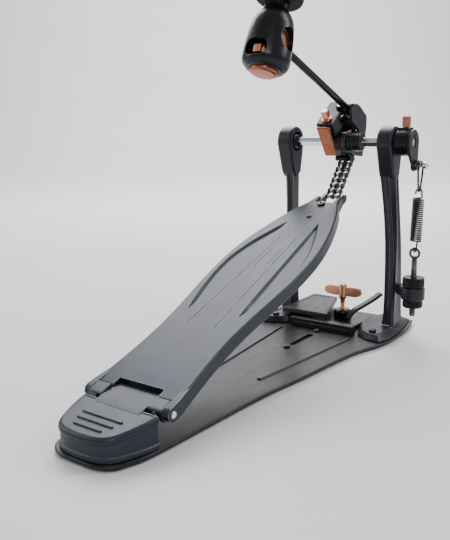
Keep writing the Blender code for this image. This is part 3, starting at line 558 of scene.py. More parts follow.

# Metals: colour, darker patches, colour of the painted edge highlight; then roughness range, how the
# scratches are stretched, scratch depth in mm, and how strong the painted edge highlight is.
COPPER_LOOK = metal_look("copper_satin", (0.68, 0.3, 0.185), (0.58, 0.245, 0.145), (0.95, 0.6, 0.44),
                         (0.2, 0.3), (1.0, 1.0, 6.0), 0.015, 0.6)
BRONZE_LOOK = metal_look("copper_dark", (0.36, 0.13, 0.075), (0.28, 0.098, 0.055), (0.85, 0.42, 0.26),
                         (0.24, 0.34), (1.0, 1.0, 6.0), 0.015, 0.8)
CHROME_LOOK = metal_look("chrome_drawn", (0.86, 0.87, 0.89), (0.82, 0.83, 0.85), (0.95, 0.95, 0.96),
                         (0.1, 0.16), (0.05, 3.0, 3.0), 0.006, 0.3)
NICKEL_LOOK = metal_look("black_nickel", (0.13, 0.13, 0.14), (0.09, 0.09, 0.1), (0.4, 0.4, 0.42),
                         (0.18, 0.3), (1.0, 3.0, 3.0), 0.02, 0.5)
SPRING_LOOK = metal_look("spring_black", (0.075, 0.075, 0.08), (0.05, 0.05, 0.054), (0.2, 0.2, 0.21),
                         (0.16, 0.28), (1.0, 1.0, 2.0), 0.015, 0.4)
LINK_LOOK = metal_look("link_black", (0.07, 0.07, 0.075), (0.045, 0.045, 0.05), (0.45, 0.45, 0.47),
                       (0.2, 0.34), (1.0, 1.0, 1.0), 0.02, 0.7)
# rollers much brighter than the plates: a painted glint for the light they catch
ROLLER_GLINT_LOOK = metal_look("roller_painted_glint", (0.5, 0.5, 0.53), (0.38, 0.38, 0.4), (0.7, 0.7, 0.72),
                         (0.12, 0.24), (1.0, 1.0, 1.0), 0.01, 0.4)
SCREW_LOOK = metal_look("screw_black", (0.09, 0.09, 0.1), (0.06, 0.06, 0.065), (0.42, 0.42, 0.44),
                        (0.24, 0.36), (1.0, 1.0, 1.0), 0.02, 0.7)
RUBBER_LOOK = rubber_look("rubber_black")
FELT_LOOK = felt_look("felt_black")


# ---- base ----

BASE_HALF = [(0, -343.2), (11, -342.5), (19.5, -340.5), (26.5, -335), (30.5, -326), (35.2, -303), (41, -200),
             (48, -142), (56, -72), (66, -37), (69, -12), (68, 22), (62, 50)]
BASE_RIB = [(20, -172), (24, -172), (38, -42), (34, -42)]
MAT_REAR = -338
HEEL_HALF = [(0, -340.8), (10.5, -340), (18, -338), (24, -333.2), (27.6, -326), (31.8, -314), (34.0, -302.5)]
HEEL_EDGE = -302.5
HEEL_BACK = -338
HEEL_BACK_TOP = 20.2
HEEL_SLOPE = 0.15
# inset from the outline, height above the deck
HEEL_FOOT = [(0, 0), (0, 1.8), (0.25, 2.4), (0.9, 2.9)]
# inset from the outline, depth below the sloping top
HEEL_RIM = [(0.9, 5.0), (0.3, 4.2), (0, 3.2), (0.15, 2.1), (0.6, 1.2), (1.4, 0.4), (2.4, 0.0), (3.2, 0.05),
            (3.9, 0.5)]
HEEL_TONGUE = [(-306, 12), (-306, 24.8), (-299, 26.8), (-286, 28.8), (-280.6, 28.8), (-280.6, 18), (-288, 12)]
FOOT_SCREW = (52.0, -25.5)
FOOT_FLOOR = [(28, -2), (38, -27), (50, -35.5), (63, -37), (67, -22), (66.5, 0), (64, 25), (60, 46), (34, 46),
              (28, 25)]
FOOT_TOP = [(31, 0.5), (41, -24.5), (51, -32), (61, -33.5), (63, -22), (62, -4), (57, 20), (52, 38), (37, 38),
            (32, 22)]
FOOT_RIDGE = [(57.5, -30), (60.5, -30.5), (62, -20), (61.2, -2), (58.6, -2), (59.2, -18)]


def edge_line(half):
    """The right-hand outline as a smooth curve inside the CAD box, without its point on the middle plane."""
    low, high = corners("base_plate")
    return [(min(x, high.x), max(low.y, min(y, high.y))) for x, y in spline(half)[1:]]


def make_base():
    ribs = [slab(on_side(BASE_RIB, sign), PLATE_LOW + 1, PLATE_TOP + 1.3, 1.3) for sign in (1, -1)]
    slot = arc((0, -49), 3, 0, 180, 16) + arc((0, -81), 3, 180, 360, 16)
    steps = [join(rib) for rib in ribs] + [cut(prism(slot, "Z", -2, 12))]
    deck = slab(full_outline(edge_line(BASE_HALF)), PLATE_LOW, PLATE_TOP, 1.0)
    piece("base_deck", deck, PLATE_LOOK, "base_plate", steps, 0.25, 2)
    inset = [(0, MAT_REAR)] + [(x - 2.5, max(y, MAT_REAR)) for x, y in BASE_HALF[1:]]
    sheet = prism(full_outline(spline(inset)[1:]), "Z", 0, corners("base_rubber")[1].z)
    piece("base_mat", sheet, RUBBER_LOOK, "base_rubber", round_edges=0.4, segments=2)


def heel_ring(outline, inset):
    """The outline moved inwards; its straight edge by the hinge holds still for the first 2.4 mm."""
    edge = HEEL_EDGE - max(0.0, inset - 2.4)
    ring = []
    for (x, y), (inner_x, inner_y) in zip(outline, inset_outline(outline, inset)):
        if y > HEEL_EDGE - 0.1:
            ring.append((math.copysign(abs(x) - inset, x), edge))
        else:
            ring.append((inner_x, min(inner_y, edge - 0.2)))
    return ring


def make_heel():
    """Cast wedge with a rounded rim, three grip ribs and the tongue that holds the hinge pin."""
    outline = full_outline(edge_line(HEEL_HALF))
    rings = [[(x, y, DECK + height) for x, y in heel_ring(outline, inset)] for inset, height in HEEL_FOOT]
    for inset, drop in HEEL_RIM:
        ring = heel_ring(outline, inset)
        rings.append([(x, y, HEEL_BACK_TOP + (y - HEEL_BACK) * HEEL_SLOPE - drop) for x, y in ring])
    steps = [join(prism(HEEL_TONGUE, "X", -19.6, 19.6))]
    tilt = Matrix.Translation((0, -322, 22.3)) @ Matrix.Rotation(math.atan(HEEL_SLOPE), 4, "X")
    for k, half_width in enumerate((11.0, 14.5, 16.5)):
        rib = stadium(half_width, -9.0 + 6.5 * k, 1.3, 8)
        steps.append(join(moved(slab(rib, -2.0, 0.95, 0.8, 3), tilt)))
    steps.append(cut(hinge_bore(40)))
    piece("heel_casting", loft(rings), BOARD_LOOK, "heel_plate", steps, 0.35, 3)


def make_feet():
    for side, sign in SIDES:
        floor, top = on_side(FOOT_FLOOR, sign), on_side(FOOT_TOP, sign)
        rings = [[(*p, DECK) for p in floor], [(*p, DECK + 1.2) for p in floor], [(*p, 10.5) for p in top]]
        x, y = sign * FOOT_SCREW[0], FOOT_SCREW[1]
        seat = rod(2.6, (x, y, 6.5), (x, y, 20))
        steps = [cut(seat), join(slab(on_side(FOOT_RIDGE, sign), 8.0, 11.3, 0.6, 3))]
        piece(f"foot_{side}_casting", loft(rings), CAST_LOOK, f"foot_{side}", steps, 0.8, 3)


def make_bridge():
    outline = [(-27.5, -29.5), (27.5, -29.5), (27.5, 30), (-27.5, 30)]
    ledge = box((-33, -29.5, DECK), (33, -22.0, 12.4))
    groove_room = box((-30, -30.5, 8.4), (30, -28.9, 9.4))
    steps = [join(ledge), cut(groove_room)]
    piece("bridge_casting", prism(outline, "Z", DECK, 8.0), CAST_LOOK, "bridge_plate", steps, 0.6, 3)


# ---- posts and bearings ----

POST_SECTIONS = [
    # height, inner X, outer X, rear Y, front Y
    (10.8, 49.0, 62.5, -3.0, 24.0),
    (15.0, 50.6, 61.2, 0.0, 20.5),
    (40.0, 50.8, 60.6, 1.5, 19.0),
    (85.0, 49.4, 59.8, 3.0, 16.5),
    (120.0, 47.6, 58.6, 0.5, 12.5),
    (150.0, 45.6, 57.6, -4.5, 9.0),
    (172.0, 44.6, 57.4, -9.0, 9.0),
]
HOUSING_IN = 44.0
HOUSING_OUT = 58.7
HOUSING_R = 14.3


def post_ring(section, sign):
    """A section with a shallow flute down its outer and rear faces."""
    z, inner, outer, rear, front = section
    lean = 1.5 + 3.5 * max(0.0, (z - 60) / 112)
    flute = 0.9 * min(1.0, max(0.0, (z - 12) / 20), max(0.0, (168 - z) / 20))
    chamfer = outer - lean
    mid_x = (inner + chamfer) / 2
    side_rear = rear + lean * 1.3
    mid_y = (side_rear + front) / 2
    points = [
        (inner, rear), (inner + 2.2, rear), (mid_x, rear + flute), (chamfer - 2.0, rear), (chamfer, rear),
        (outer, side_rear), (outer, side_rear + 2.0), (outer - flute, mid_y), (outer, front - 2.0),
        (outer, front), (inner + 1.5, front), (inner, front - 2),
    ]
    return [(sign * x, y, z) for x, y in points]


def make_posts():
    drop = AXLE_Z - 34
    outline = arc((0, AXLE_Z), HOUSING_R, -20, 200, 44) + [(-5, drop + 4), (1, drop - 2), (9, drop + 4)]
    sections = spline(POST_SECTIONS, 4)
    for side, sign in SIDES:
        housing = plain_object("housing", side_prism(outline, sign, HOUSING_IN, HOUSING_OUT))
        round_off(housing, 2.2, 4)
        outer = [(0, 0), (9.6, 0), (9.0, 1.3), (0, 1.3)]
        inner = [(0, 0), (9.4, 0), (8.9, 1.1), (0, 1.1)]
        steps = [
            join(taken(housing)),
            cut(rod(7.3, on_axle(sign * 40), on_axle(sign * 64), 64)),
            cut(turned(outer, on_axle(sign * (HOUSING_OUT + 0.5)), (-sign, 0, 0), 64)),
            cut(turned(inner, on_axle(sign * (HOUSING_IN - 0.5)), (sign, 0, 0), 64)),
        ]
        casting = loft([post_ring(section, sign) for section in sections])
        piece(f"post_{side}_casting", casting, CAST_LOOK, f"post_{side}", steps, 0.5, 3, 40)
        make_bearing(side, sign)


def make_bearing(side, sign):
    width = HOUSING_OUT - HOUSING_IN + 0.4
    profile = both_ends([(7.0, 0.35), (6.65, 0), (6.3, 0), (6.2, 0.45), (5.75, 0.45), (5.65, 0.1), (5.2, 0.1),
                         (5.1, 0.3)], width / 2)
    race = turned_ring(profile, on_axle(sign * (HOUSING_IN - 0.6)), (sign, 0, 0), 64)
    piece(f"bearing_{side}_race", race, SCREW_LOOK, f"bearing_{side}")


# ---- screws ----

THREAD_DEPTH = 0.35
THREAD_SIDES = 28
THREAD_STEPS = 6


def socket_screw(name, node, base, direction, radius, height, stem=0.0):
    """Screw head with a hexagonal socket and a domed edge, and a plain stem if one is asked for."""
    profile = [(0, -stem), (radius * 0.55, -stem), (radius * 0.55, 0)] if stem else [(0, 0)]
    profile += [(radius, 0), (radius, height * 0.62), (radius * 0.96, height * 0.82),
                (radius * 0.86, height * 0.95), (radius * 0.74, height), (0, height)]
    key = circle((0, 0), radius * 0.47, 6)
    socket = placed(prism(key, "Z", height * 0.3, height + 1), base, direction)
    piece(name, turned(profile, base, direction, 40), SCREW_LOOK, node, [cut(socket)], 0.12, 2, 30)


def square_outline(half, chamfer):
    """A square about the origin with its corners cut off."""
    edge = half - chamfer
    return [(half, -edge), (half, edge), (edge, half), (-edge, half), (-half, edge), (-half, -edge),
            (-edge, -half), (edge, -half)]


def square_bolt(name, node, placing, width, height, stem, flange=0.0):
    """Drum-key bolt: a square head with a domed top, a round flange and a round stem."""
    half = width / 2
    shape = [(1.0, 0), (1.0, height - 0.9), (0.94, height - 0.4), (0.82, height - 0.1), (0.6, height)]
    head = loft([[(x * k, y * k, z) for x, y in square_outline(half, 0.7)] for k, z in shape])
    reach = max(flange, half * 0.95)
    profile = [(0, -stem), (2.1, -stem), (2.1, -0.001), (reach - 0.3, 0), (reach, 0.3), (reach, 1.1),
               (reach - 0.3, 1.4), (0, 1.4)]
    steps = [join(moved(turned(profile, (0, 0, 0), Z_AXIS, 40), placing))]
    piece(name, moved(head, placing), COPPER_LOOK, node, steps, 0.25, 3)


def make_base_screws():
    for side, y in (("rear", -92.0), ("front", -36.0)):
        socket_screw(f"base_{side}_screw", f"base_screw_{side}", (0, y, DECK), Z_AXIS, 3.0, 1.8)
    for side, sign in SIDES:
        base = (sign * FOOT_SCREW[0], FOOT_SCREW[1], 10.8)
        socket_screw(f"foot_{side}_screw", f"foot_screw_{side}", base, Z_AXIS, 3.4, 2.4, 3.5)


def threaded(radius, low, high):
    """A rod along Z about the origin, with a thread of 1 mm pitch and plain tapered ends."""
    count = int((high - low) * THREAD_STEPS)
    rings = []
    for k in range(count + 1):
        z = low + (high - low) * k / count
        fade = min(1.0, z - low, high - z)
        ring = []
        for i in range(THREAD_SIDES):
            phase = (z - i / THREAD_SIDES) % 1.0
            r = radius - THREAD_DEPTH * (1 - abs(2 * phase - 1)) - 0.5 * (1 - fade)
            turn = 2 * math.pi * i / THREAD_SIDES
            ring.append((r * math.cos(turn), r * math.sin(turn), z))
        rings.append(ring)
    return loft(rings)


# ---- hoop clamp ----

CLAMP_BOSS = [(0, 8.3), (8.2, 8.3), (8.6, 8.7), (8.6, 14.6), (8.4, 15.6), (7.8, 16.6), (7.0, 17.2),
              (6.2, 17.5), (0, 17.5)]
WING_HUB = [(0, 24), (2.3, 24), (2.5, 27.6), (3.2, 28.3), (3.75, 29.0), (3.9, 29.8), (3.9, 41.4),
            (3.75, 42.1), (3.3, 42.7), (2.6, 43), (0, 43)]
WING_HALF = [(2, 31.2), (9, 31.0), (15, 31.5), (18.8, 33), (19.6, 35.8), (18.4, 38.8), (14, 40), (8, 40),
             (2, 39.3)]


def strap(points, across, half_width, half_thick):
    """A flat bar swept through points, its width kept along the given direction."""
    pts = [Vector(p) for p in points]
    rings = []
    for i, point in enumerate(pts):
        along = (pts[min(i + 1, len(pts) - 1)] - pts[max(i - 1, 0)]).normalized()
        side = Vector(across)
        side = (side - along * side.dot(along)).normalized() * half_width
        up = along.cross(side).normalized() * half_thick
        rings.append([point + side + up, point - side + up, point - side - up, point + side - up])
    return loft(rings)


def make_hoop_clamp():
    jaw = [(-47, -21), (3, -21), (-19, 44), (-47, 44)]
    pocket = prism(inset_outline(jaw, 5.0), "Z", 18.1, 20)
    piece("jaw_plate", slab(jaw, 14.0, 18.5, 1.4), JAW_LOOK, "clamp_jaw", [cut(pocket)], 0.4, 3)
    low, high = corners("clamp_pad")
    pad = [(-29.5, 31), (-16, 31), (-20.5, 43), (-29.5, 43)]
    grooves = [cut(box((-32, y, low.z - 1), (-10, y + 0.8, low.z + 0.5))) for y in (33.5, 36.5, 39.5)]
    piece("jaw_pad", prism(pad, "Z", low.z, high.z), RUBBER_LOOK, "clamp_pad", grooves, 0.3, 2)
    bore = rod(2.9, (WING.x, WING.y, 10), (WING.x, WING.y, 30))
    seat = turned(CLAMP_BOSS, (WING.x, WING.y, 0), Z_AXIS, 64)
    piece("clamp_seat", seat, DARK_LOOK, "clamp_boss", [cut(bore)], 0.2, 2)
    path = spline([(15.5, -2, 10.6), (18.5, 2, 17.5), (24.5, 9.5, 22.5), (31.5, 19, 28), (37, 26.5, 33.5)])
    lever = strap(path, (0.8, -0.6, 0), 3.4, 1.5)
    piece("clamp_lever", lever, CAST_LOOK, "clamp_arm", round_edges=0.7, segments=3)


def make_wing_bolt():
    """Screw that closes the hoop clamp: a turned hub with two rounded wings on a threaded stem."""
    x, y = WING.x, WING.y
    steps = []
    for sign in (1, -1):
        wing = [(x + a, z) for a, z in spline(on_side(WING_HALF, sign))]
        steps.append(join(prism(wing, "Y", y - 1.5, y + 1.5)))
    hub = turned(WING_HUB, (x, y, 0), Z_AXIS, 48)
    piece("wing_screw", hub, COPPER_LOOK, "wing_bolt", steps, 0.75, 4)
    stem = moved(threaded(2.5, 10.6, 24.1), Matrix.Translation((x, y, 0)))
    extra("wing_screw_thread", stem, COPPER_LOOK, "wing_bolt", crease=50)


# ---- spring side ----

COIL_LOW = 8.0
COIL_HIGH = 47.0
COIL_TURNS = 21
COIL_STEPS = 22
COIL_R = 4.6
HOOK_R = 2.9
UPPER_HOOK = 52.1
LINK_LOW = 55.6
PIN = AXLE + Vector((EYE.x, 4.5, -20.0))


def make_spring_bracket():
    boss = both_ends([(10.6, 0.8), (10.3, 0.2), (9.8, 0), (3.4, 0), (3.1, 0.3)], 5.5)
    arm = [(61.2, 4), (61.2, 16), (70.5, 9), (EYE.x - 3, 9.4), (EYE.x - 5, -7.5), (70, -5)]
    bore = rod(3.1, (EYE.x, EYE.y, 35), (EYE.x, EYE.y, 55))
    steps = [join(slab(arm, 42, 50, 1.2)), cut(bore)]
    ring = turned_ring(boss, (EYE.x, EYE.y, 40), Z_AXIS, 64)
    piece("spring_boss", ring, CAST_LOOK, "spring_bracket", steps, 0.3, 2)


def make_eye_bolt():
    base = (EYE.x, EYE.y, 0)
    loop = [(x, EYE.y, z) for x, z in circle((EYE.x, 82.6), 4.2, 36)]
    neck = [(0, 69), (2.5, 69), (2.6, 71), (2.5, 76), (1.9, 79.5), (1.2, 80), (0, 80)]
    steps = [join(wire(loop, 1.2, 16, closed=True))]
    piece("eye_stem", turned(neck, base, Z_AXIS, 28), NICKEL_LOOK, "eye_bolt", steps)
    stem = moved(threaded(2.8, 24.0, 69.2), Matrix.Translation(base))
    extra("eye_thread", stem, NICKEL_LOOK, "eye_bolt", crease=50)
    for name, node, low, height, radius, teeth in (
        ("tension_knob", "tension_nut", 51.3, 9.4, 9.8, 40),
        ("lock_knob", "lock_nut", 32.6, 7.0, 9.0, 36),
    ):
        nut = knurled_nut(low, height, radius, teeth)
        piece(name, nut, DARK_LOOK, node, round_edges=0.12, segments=2, crease=45)


def knurled_nut(low, height, radius, teeth):
    """A round nut with straight knurls, plain bands at its ends and a groove below the upper band."""
    top = low + height
    band = radius - 0.15
    rows = [
        # height, radius, depth of the knurls
        (low, 3.2, 0), (low, radius * 0.92, 0), (low + 0.7, band, 0), (low + 1.3, band, 0),
        (low + 1.5, radius, 0.5), (top - 1.9, radius, 0.5), (top - 1.7, radius - 0.7, 0),
        (top - 1.1, radius - 0.7, 0), (top - 0.9, band, 0), (top - 0.5, band, 0), (top, radius * 0.93, 0),
        (top, 3.2, 0),
    ]
    count = teeth * 4
    rings = []
    for z, reach, depth in rows:
        ring = []
        for i in range(count):
            turn = 2 * math.pi * i / count
            r = reach - (depth if i % 4 in (0, 1) else 0)
            ring.append((EYE.x + r * math.cos(turn), EYE.y + r * math.sin(turn), z))
        rings.append(ring)
    return loft(rings, closed=True)


def spring_point(x, y, along):
    """A point in the spring's frame: x and y across it, along from the eye bolt's hook point."""
    across = Vector((0, SPRING_DIR.z, -SPRING_DIR.y))
    return EYE + Vector((x, 0, 0)) + across * y + SPRING_DIR * along


def hook_points(across, centre, angles):
    """Points of a hook that lies in the plane of the spring's axis and X or Y."""
    points = []
    for angle in angles:
        turn = math.radians(angle)
        side, along = HOOK_R * math.cos(turn), centre + HOOK_R * math.sin(turn)
        points.append(spring_point(side, 0, along) if across == "X" else spring_point(0, side, along))
    return points


def make_spring():
    """Close-wound extension spring with a hook at each end."""
    lead = hook_points("Y", 1.4, range(150, 361, 15))
    lead += [spring_point(0.2, HOOK_R + 0.4, 4.2), spring_point(0.1, 4.0, 6.2)]
    coil = []
    for i in range(COIL_TURNS * COIL_STEPS + 1):
        a = 2 * math.pi * i / COIL_STEPS
        along = COIL_LOW + (COIL_HIGH - COIL_LOW) * i / (COIL_TURNS * COIL_STEPS)
        coil.append(spring_point(COIL_R * math.sin(a), COIL_R * math.cos(a), along))
    turn_in = [coil[-1], spring_point(1.8, 3.2, 47.8), spring_point(2.8, 1.0, 49.0)]
    tail = spline(turn_in + hook_points("X", UPPER_HOOK, (-25,)), 4)[1:-1]
    tail += hook_points("X", UPPER_HOOK, range(-25, 226, 14))
    obj = plain_object("spring_coil", wire(lead + coil + tail, 0.8, 10))
    obj.data.shade_smooth()
    obj.data.materials.append(SPRING_LOOK)
    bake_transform(obj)
    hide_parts("spring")


def make_spring_link():
    top = (PIN - EYE).length - 1.4
    upper = [(5.4 * x, top + 4.6 * y) for x, y in arc((0, 0), 1.0, 0, 180, 24)]
    left = spline([upper[-1], (-5.3, top - 6.0), (-2.75, LINK_LOW + 1.5), (-2.6, LINK_LOW)], 6)[1:-1]
    lower = arc((0, LINK_LOW), 2.6, 180, 360, 14)
    right = [(-y, z) for y, z in left[::-1]]
    points = [spring_point(0, y, z) for y, z in upper + left + lower + right]
    piece("spring_loop", wire(points, 0.9, 16, closed=True), SPRING_LOOK, "spring_link", crease=60)


# ---- rocker: the lever on the axle's end that stretches the spring ----

PIN_DOME = [(0, 71.0), (1.8, 71.0), (1.8, 81.6), (2.7, 81.6), (3.1, 81.9), (3.1, 84.6), (3.0, 85.3),
            (2.7, 85.9), (2.2, 86.4), (1.4, 86.8), (0.6, 87.0), (0, 87.0)]


def make_rocker_hub():
    """Split hub with an ear on top for the bolt that closes it."""
    profile = both_ends([(0, 60.0), (11.2, 60.0), (11.8, 60.3), (12.0, 60.9)], 65.7)
    ear = box((60.4, -5.2, AXLE_Z + 4), (71.0, 5.2, AXLE_Z + 13.0))
    slit = box((60.0, -0.5, AXLE_Z + 5), (71.6, 0.5, AXLE_Z + 14))
    bolt_room = rod(2.5, (66.4, 0, AXLE_Z + 4.5), (66.4, 0, AXLE_Z + 20))
    steps = [join(ear), cut(prism(HEX_HOLE, "X", 55, 80)), cut(slit), cut(bolt_room)]
    hub = turned(profile, on_axle(0), X_AXIS, 72)
    piece("rocker_hub_split", hub, DARK_LOOK, "rocker_hub", steps, 0.3, 2)


def make_rocker_plate():
    outline = arc((0, AXLE_Z), 11.2, -12, 180, 36) + [(-9.5, AXLE_Z - 9), (-4, AXLE_Z - 16)]
    outline += arc((PIN.y, PIN.z), 5.6, 170, 370, 28)
    key = arc((0, AXLE_Z + 5.5), 1.5, 0, 180, 12) + [(-1.5, AXLE_Z), (1.5, AXLE_Z)]
    steps = [cut(prism(HEX_HOLE, "X", 55, 90)), cut(prism(key, "X", 70, 80)),
             cut(rod(2.1, (70, PIN.y, PIN.z), (78, PIN.y, PIN.z)))]
    piece("rocker_plate", prism(outline, "X", 71.8, 74.6), CAST_LOOK, "rocker_arm", steps, 0.55, 3)


def make_rocker_pin():
    dome = turned(PIN_DOME, (0, PIN.y, PIN.z), X_AXIS, 48)
    piece("rocker_pin_dome", dome, CHROME_LOOK, "rocker_pin")
    washer = [(4.4, 74.9), (4.8, 75.3), (4.8, 77.2), (4.4, 77.6), (2.1, 77.6), (2.1, 74.9)]
    washer = turned_ring(washer, (0, PIN.y, PIN.z), X_AXIS, 40)
    extra("rocker_pin_washer", washer, NICKEL_LOOK, "rocker_pin")


def make_rocker_bolt():
    bolt_at = Matrix.Translation((66.4, 0, AXLE_Z + 13.3))
    square_bolt("rocker_key_bolt", "rocker_bolt", bolt_at, 6.2, 9.6, 7.5)


# ---- axle, cam and beater holder ----

CAM_SCREW_X = 3.6
CAM_SCREW_ANGLE = 33.0
CAM_HALF_WIDTH = 8.0
# outlines about the axle, as (y, z)
CHEEK_OUTER = [(23, 32.4), (38, 23.2), (38, 14.1), (35.8, 3.5), (31, -15), (15, -13.5)]
CHEEK_INNER = [(9.4, 1.8), (19.6, 1.0), (22.2, 10.1), (6.5, 19.3)]


def hex_bore():
    return prism(HEX_HOLE, "X", -30, 30)


def stopper_room():
    """The space kept clear for the stopper plate behind the shaft."""
    outline = [in_hub(*p) for p in ((-20, 21.8), (-5.1, 21.8), (-5.1, -20), (-20, -20))]
    return prism(outline, "X", -14, 0.7)


def make_shaft():
    low, high = corners("hex_shaft")
    stations = ((low.x, 0.86), (low.x + 0.7, 1.0), (high.x - 0.7, 1.0), (high.x, 0.86))
    rings = [[(x, *p) for p in circle((0, AXLE_Z), HEX_R * scale, 6)] for x, scale in stations]
    piece("drive_shaft", loft(rings), CHROME_LOOK, "hex_shaft", round_edges=0.35, segments=3)


def make_cheeks():
    boss = arc((0, 0), 9.6, -70, -348, 48)
    for side, sign, start, end, rooms in (
        ("right", 1, (8.8, 34.9), (4.8, 27.3), []),
        ("left", -1, (13.4, 32.6), (5.0, 25.8), [cut(stopper_room())]),
    ):
        outline = [(y, AXLE_Z + z) for y, z in [start] + CHEEK_OUTER + boss + CHEEK_INNER + [end]]
        plate = side_prism(outline, sign, 8.3, 11.3)
        steps = [cut(hex_bore())] + rooms
        piece(f"cheek_{side}_plate", plate, CAST_LOOK, f"cam_cheek_{side}", steps, 0.7, 3)


def make_collar():
    profile = [(0, 11.7), (8.2, 11.7), (8.6, 12.1), (8.6, 16.4), (8.2, 16.7), (8.2, 17.5), (8.6, 17.8),
               (8.6, 24.2), (7.8, 25.0), (0, 25.0)]
    collar = turned(profile, on_axle(0), X_AXIS, 56)
    piece("collar_bands", collar, DARK_LOOK, "cam_collar", [cut(hex_bore())], 0.15, 2)


def make_cam():
    """Rim that carries the chain, the web that joins it to the shaft, and its drum-key screw."""
    outer = CHAIN_R - 4.2
    rim = [about_axle(a, outer) for a in range(63, -58, -3)]
    rim += [about_axle(a, outer - 3.4) for a in range(-57, 64, 3)]
    web = [about_axle(-8, 21), about_axle(-50, 21), about_axle(-75, 9.4)]
    web += [about_axle(a, 9.4) for a in range(-95, -351, -8)]
    screw = [Vector((CAM_SCREW_X, *about_axle(CAM_SCREW_ANGLE, radius))) for radius in (12, 30)]
    steps = [join(prism(web, "X", -CAM_HALF_WIDTH, CAM_HALF_WIDTH)), cut(hex_bore()), cut(stopper_room()),
             cut(rod(2.5, *screw))]
    saddle = prism(rim, "X", -CAM_HALF_WIDTH, CAM_HALF_WIDTH)
    piece("cam_saddle", saddle, DARK_LOOK, "cam_rim", steps, 0.4, 2)
    inward = -(Vector((0, *about_axle(CAM_SCREW_ANGLE, 1))) - AXLE)
    seat = Vector((CAM_SCREW_X, *about_axle(CAM_SCREW_ANGLE, CHAIN_R - 8.0)))
    square_bolt("cam_key_bolt", "cam_screw", Matrix.Translation(seat) @ frame_to(inward), 6.2, 7.0, 2.4)


def make_clamp_block():
    """Block that clamps the beater's arm to the shaft, with its stopper plate and drum-key bolt."""
    outline = [in_hub(*p) for p in ((-4.6, 24), (30, 24), (30, 20), (9, 20), (9, 9.9), (-4.6, 9.9))]
    corner = [(-9.5, 34), (4, 34), (4, 14), (0.5, 14), (-3.6, 19.5)]
    steps = [cut(moved(prism(corner, "Z", 15, 30), HUB_FRAME)),
             cut(moved(rod(2.5, (-5.4, 2, 12), (-5.4, 2, 30)), HUB_FRAME))]
    piece("clamp_cap", prism(outline, "X", -14.2, 3.0), JAW_LOOK, "clamp_block", steps, 0.7, 3)
    plate = [in_hub(*p) for p in ((-8.4, 21.5), (-5.4, 22), (-5.4, -10.8), (-8.4, -10.8))]
    bar = prism(plate, "X", -13.0, 0.4)
    piece("stopper_bar", bar, BRONZE_LOOK, "stopper_plate", round_edges=1.1, segments=4)
    bolt_at = HUB_FRAME @ Matrix.Translation((-5.4, 2, 24.3))
    square_bolt("clamp_key_bolt", "clamp_bolt", bolt_at, 6.0, 9.5, 10.0, 5.0)


def make_rod_socket():
    shape = [(-21, -4.6), (-21, 4.4), (-17, 6.2), (-9, 6.2), (-7.5, 4.4), (-7.5, -5.8), (-14, -5.8)]
    points = [ABREAST + ROD_DIR * along + STRIKE_DIR * out for along, out in shape]
    outline = [(point.y, point.z) for point in points]
    steps = [cut(rod(ROD_BORE_R, ABREAST - ROD_DIR * 30, ABREAST))]
    piece("rod_grip", prism(outline, "X", -8.0, 8.0), DARK_LOOK, "rod_socket", steps, 0.6, 3)


# ---- beater: its shell is turned about the strike direction, through HEAD ----

SHELL_REAR = [(0, -26), (12.0, -26), (12.0, -28.2), (13.6, -28.2)]
SHELL_CURVE = [(14.9, -27.6), (17.6, -25), (18.9, -22), (19.2, -18), (18.8, -9), (17.7, 2.5), (16.2, 11.0),
               (13.6, 17.0), (10.8, 20.2), (9.9, 23.5)]
SHELL_FRONT = [(9.8, 26.0), (9.8, 28.6), (9.4, 29.0), (0, 29.0)]
SHELL_SEAM = [(19.9, 11.7), (19.9, 12.3), (15.2, 12.3), (15.2, 11.7)]
BARREL_END = [(0, -12), (4.4, -12), (4.6, -11.4), (7.9, -11.4), (8.6, -11.7), (9.0, -11.2)]
SCREW_COLLAR = [(0, 6.4), (2.2, 6.4), (2.2, 9.5), (4.6, 9.5), (5.1, 9.8), (5.2, 10.3), (5.2, 11.4),
                (4.9, 11.9), (4.0, 12.1), (0, 12.1)]
REAR_CAP = [(0, -31.2), (8.8, -31.2), (9.8, -31.0), (10.8, -30.4), (11.4, -29.6), (11.6, -28.8),
            (11.6, -26.6), (11.3, -26.3), (0, -26.3)]
FELT_CURVE = [(17.2, 29.3), (19.2, 30.4), (19.9, 32.6), (20.0, 37), (19.9, 41.4), (19.3, 43.8), (17.5, 45.2),
              (12, 45.9), (6, 46.15)]
BARREL_PLACE = HEAD + STRIKE_DIR * -3.5
SCREW_PLACE = HEAD + STRIKE_DIR * -16.0


def make_beater_rod():
    start, end = ABREAST - ROD_DIR * 19, HEAD + ROD_DIR * 5.6
    profile = both_ends([(0, 0), (2.7, 0), (3.2, 0.5)], (end - start).length / 2)
    piece("beater_stem", turned(profile, start, ROD_DIR, 40), DARK_LOOK, "beater_rod")


def make_beater_shell():
    """Turned shell with a cross hole, a hole for the rod, a window over the lock screw and a seam."""
    shell = turned(SHELL_REAR + spline(SHELL_CURVE) + SHELL_FRONT, HEAD, STRIKE_DIR, 96)
    across = Vector(X_AXIS)
    window = placed(prism(stadium(3.2, 0, 6.8, 24), "Z", 6, 30), SCREW_PLACE, ROD_DIR)
    steps = [cut(rod(9.4, BARREL_PLACE - across * 25, BARREL_PLACE + across * 25, 72)),
             cut(rod(ROD_BORE_R, HEAD - ROD_DIR * 30, HEAD)), cut(window),
             cut(turned_ring(SHELL_SEAM, HEAD, STRIKE_DIR, 96))]
    piece("beater_shell", shell, BEATER_LOOK, "beater_body", steps, 0.35, 3, 30)


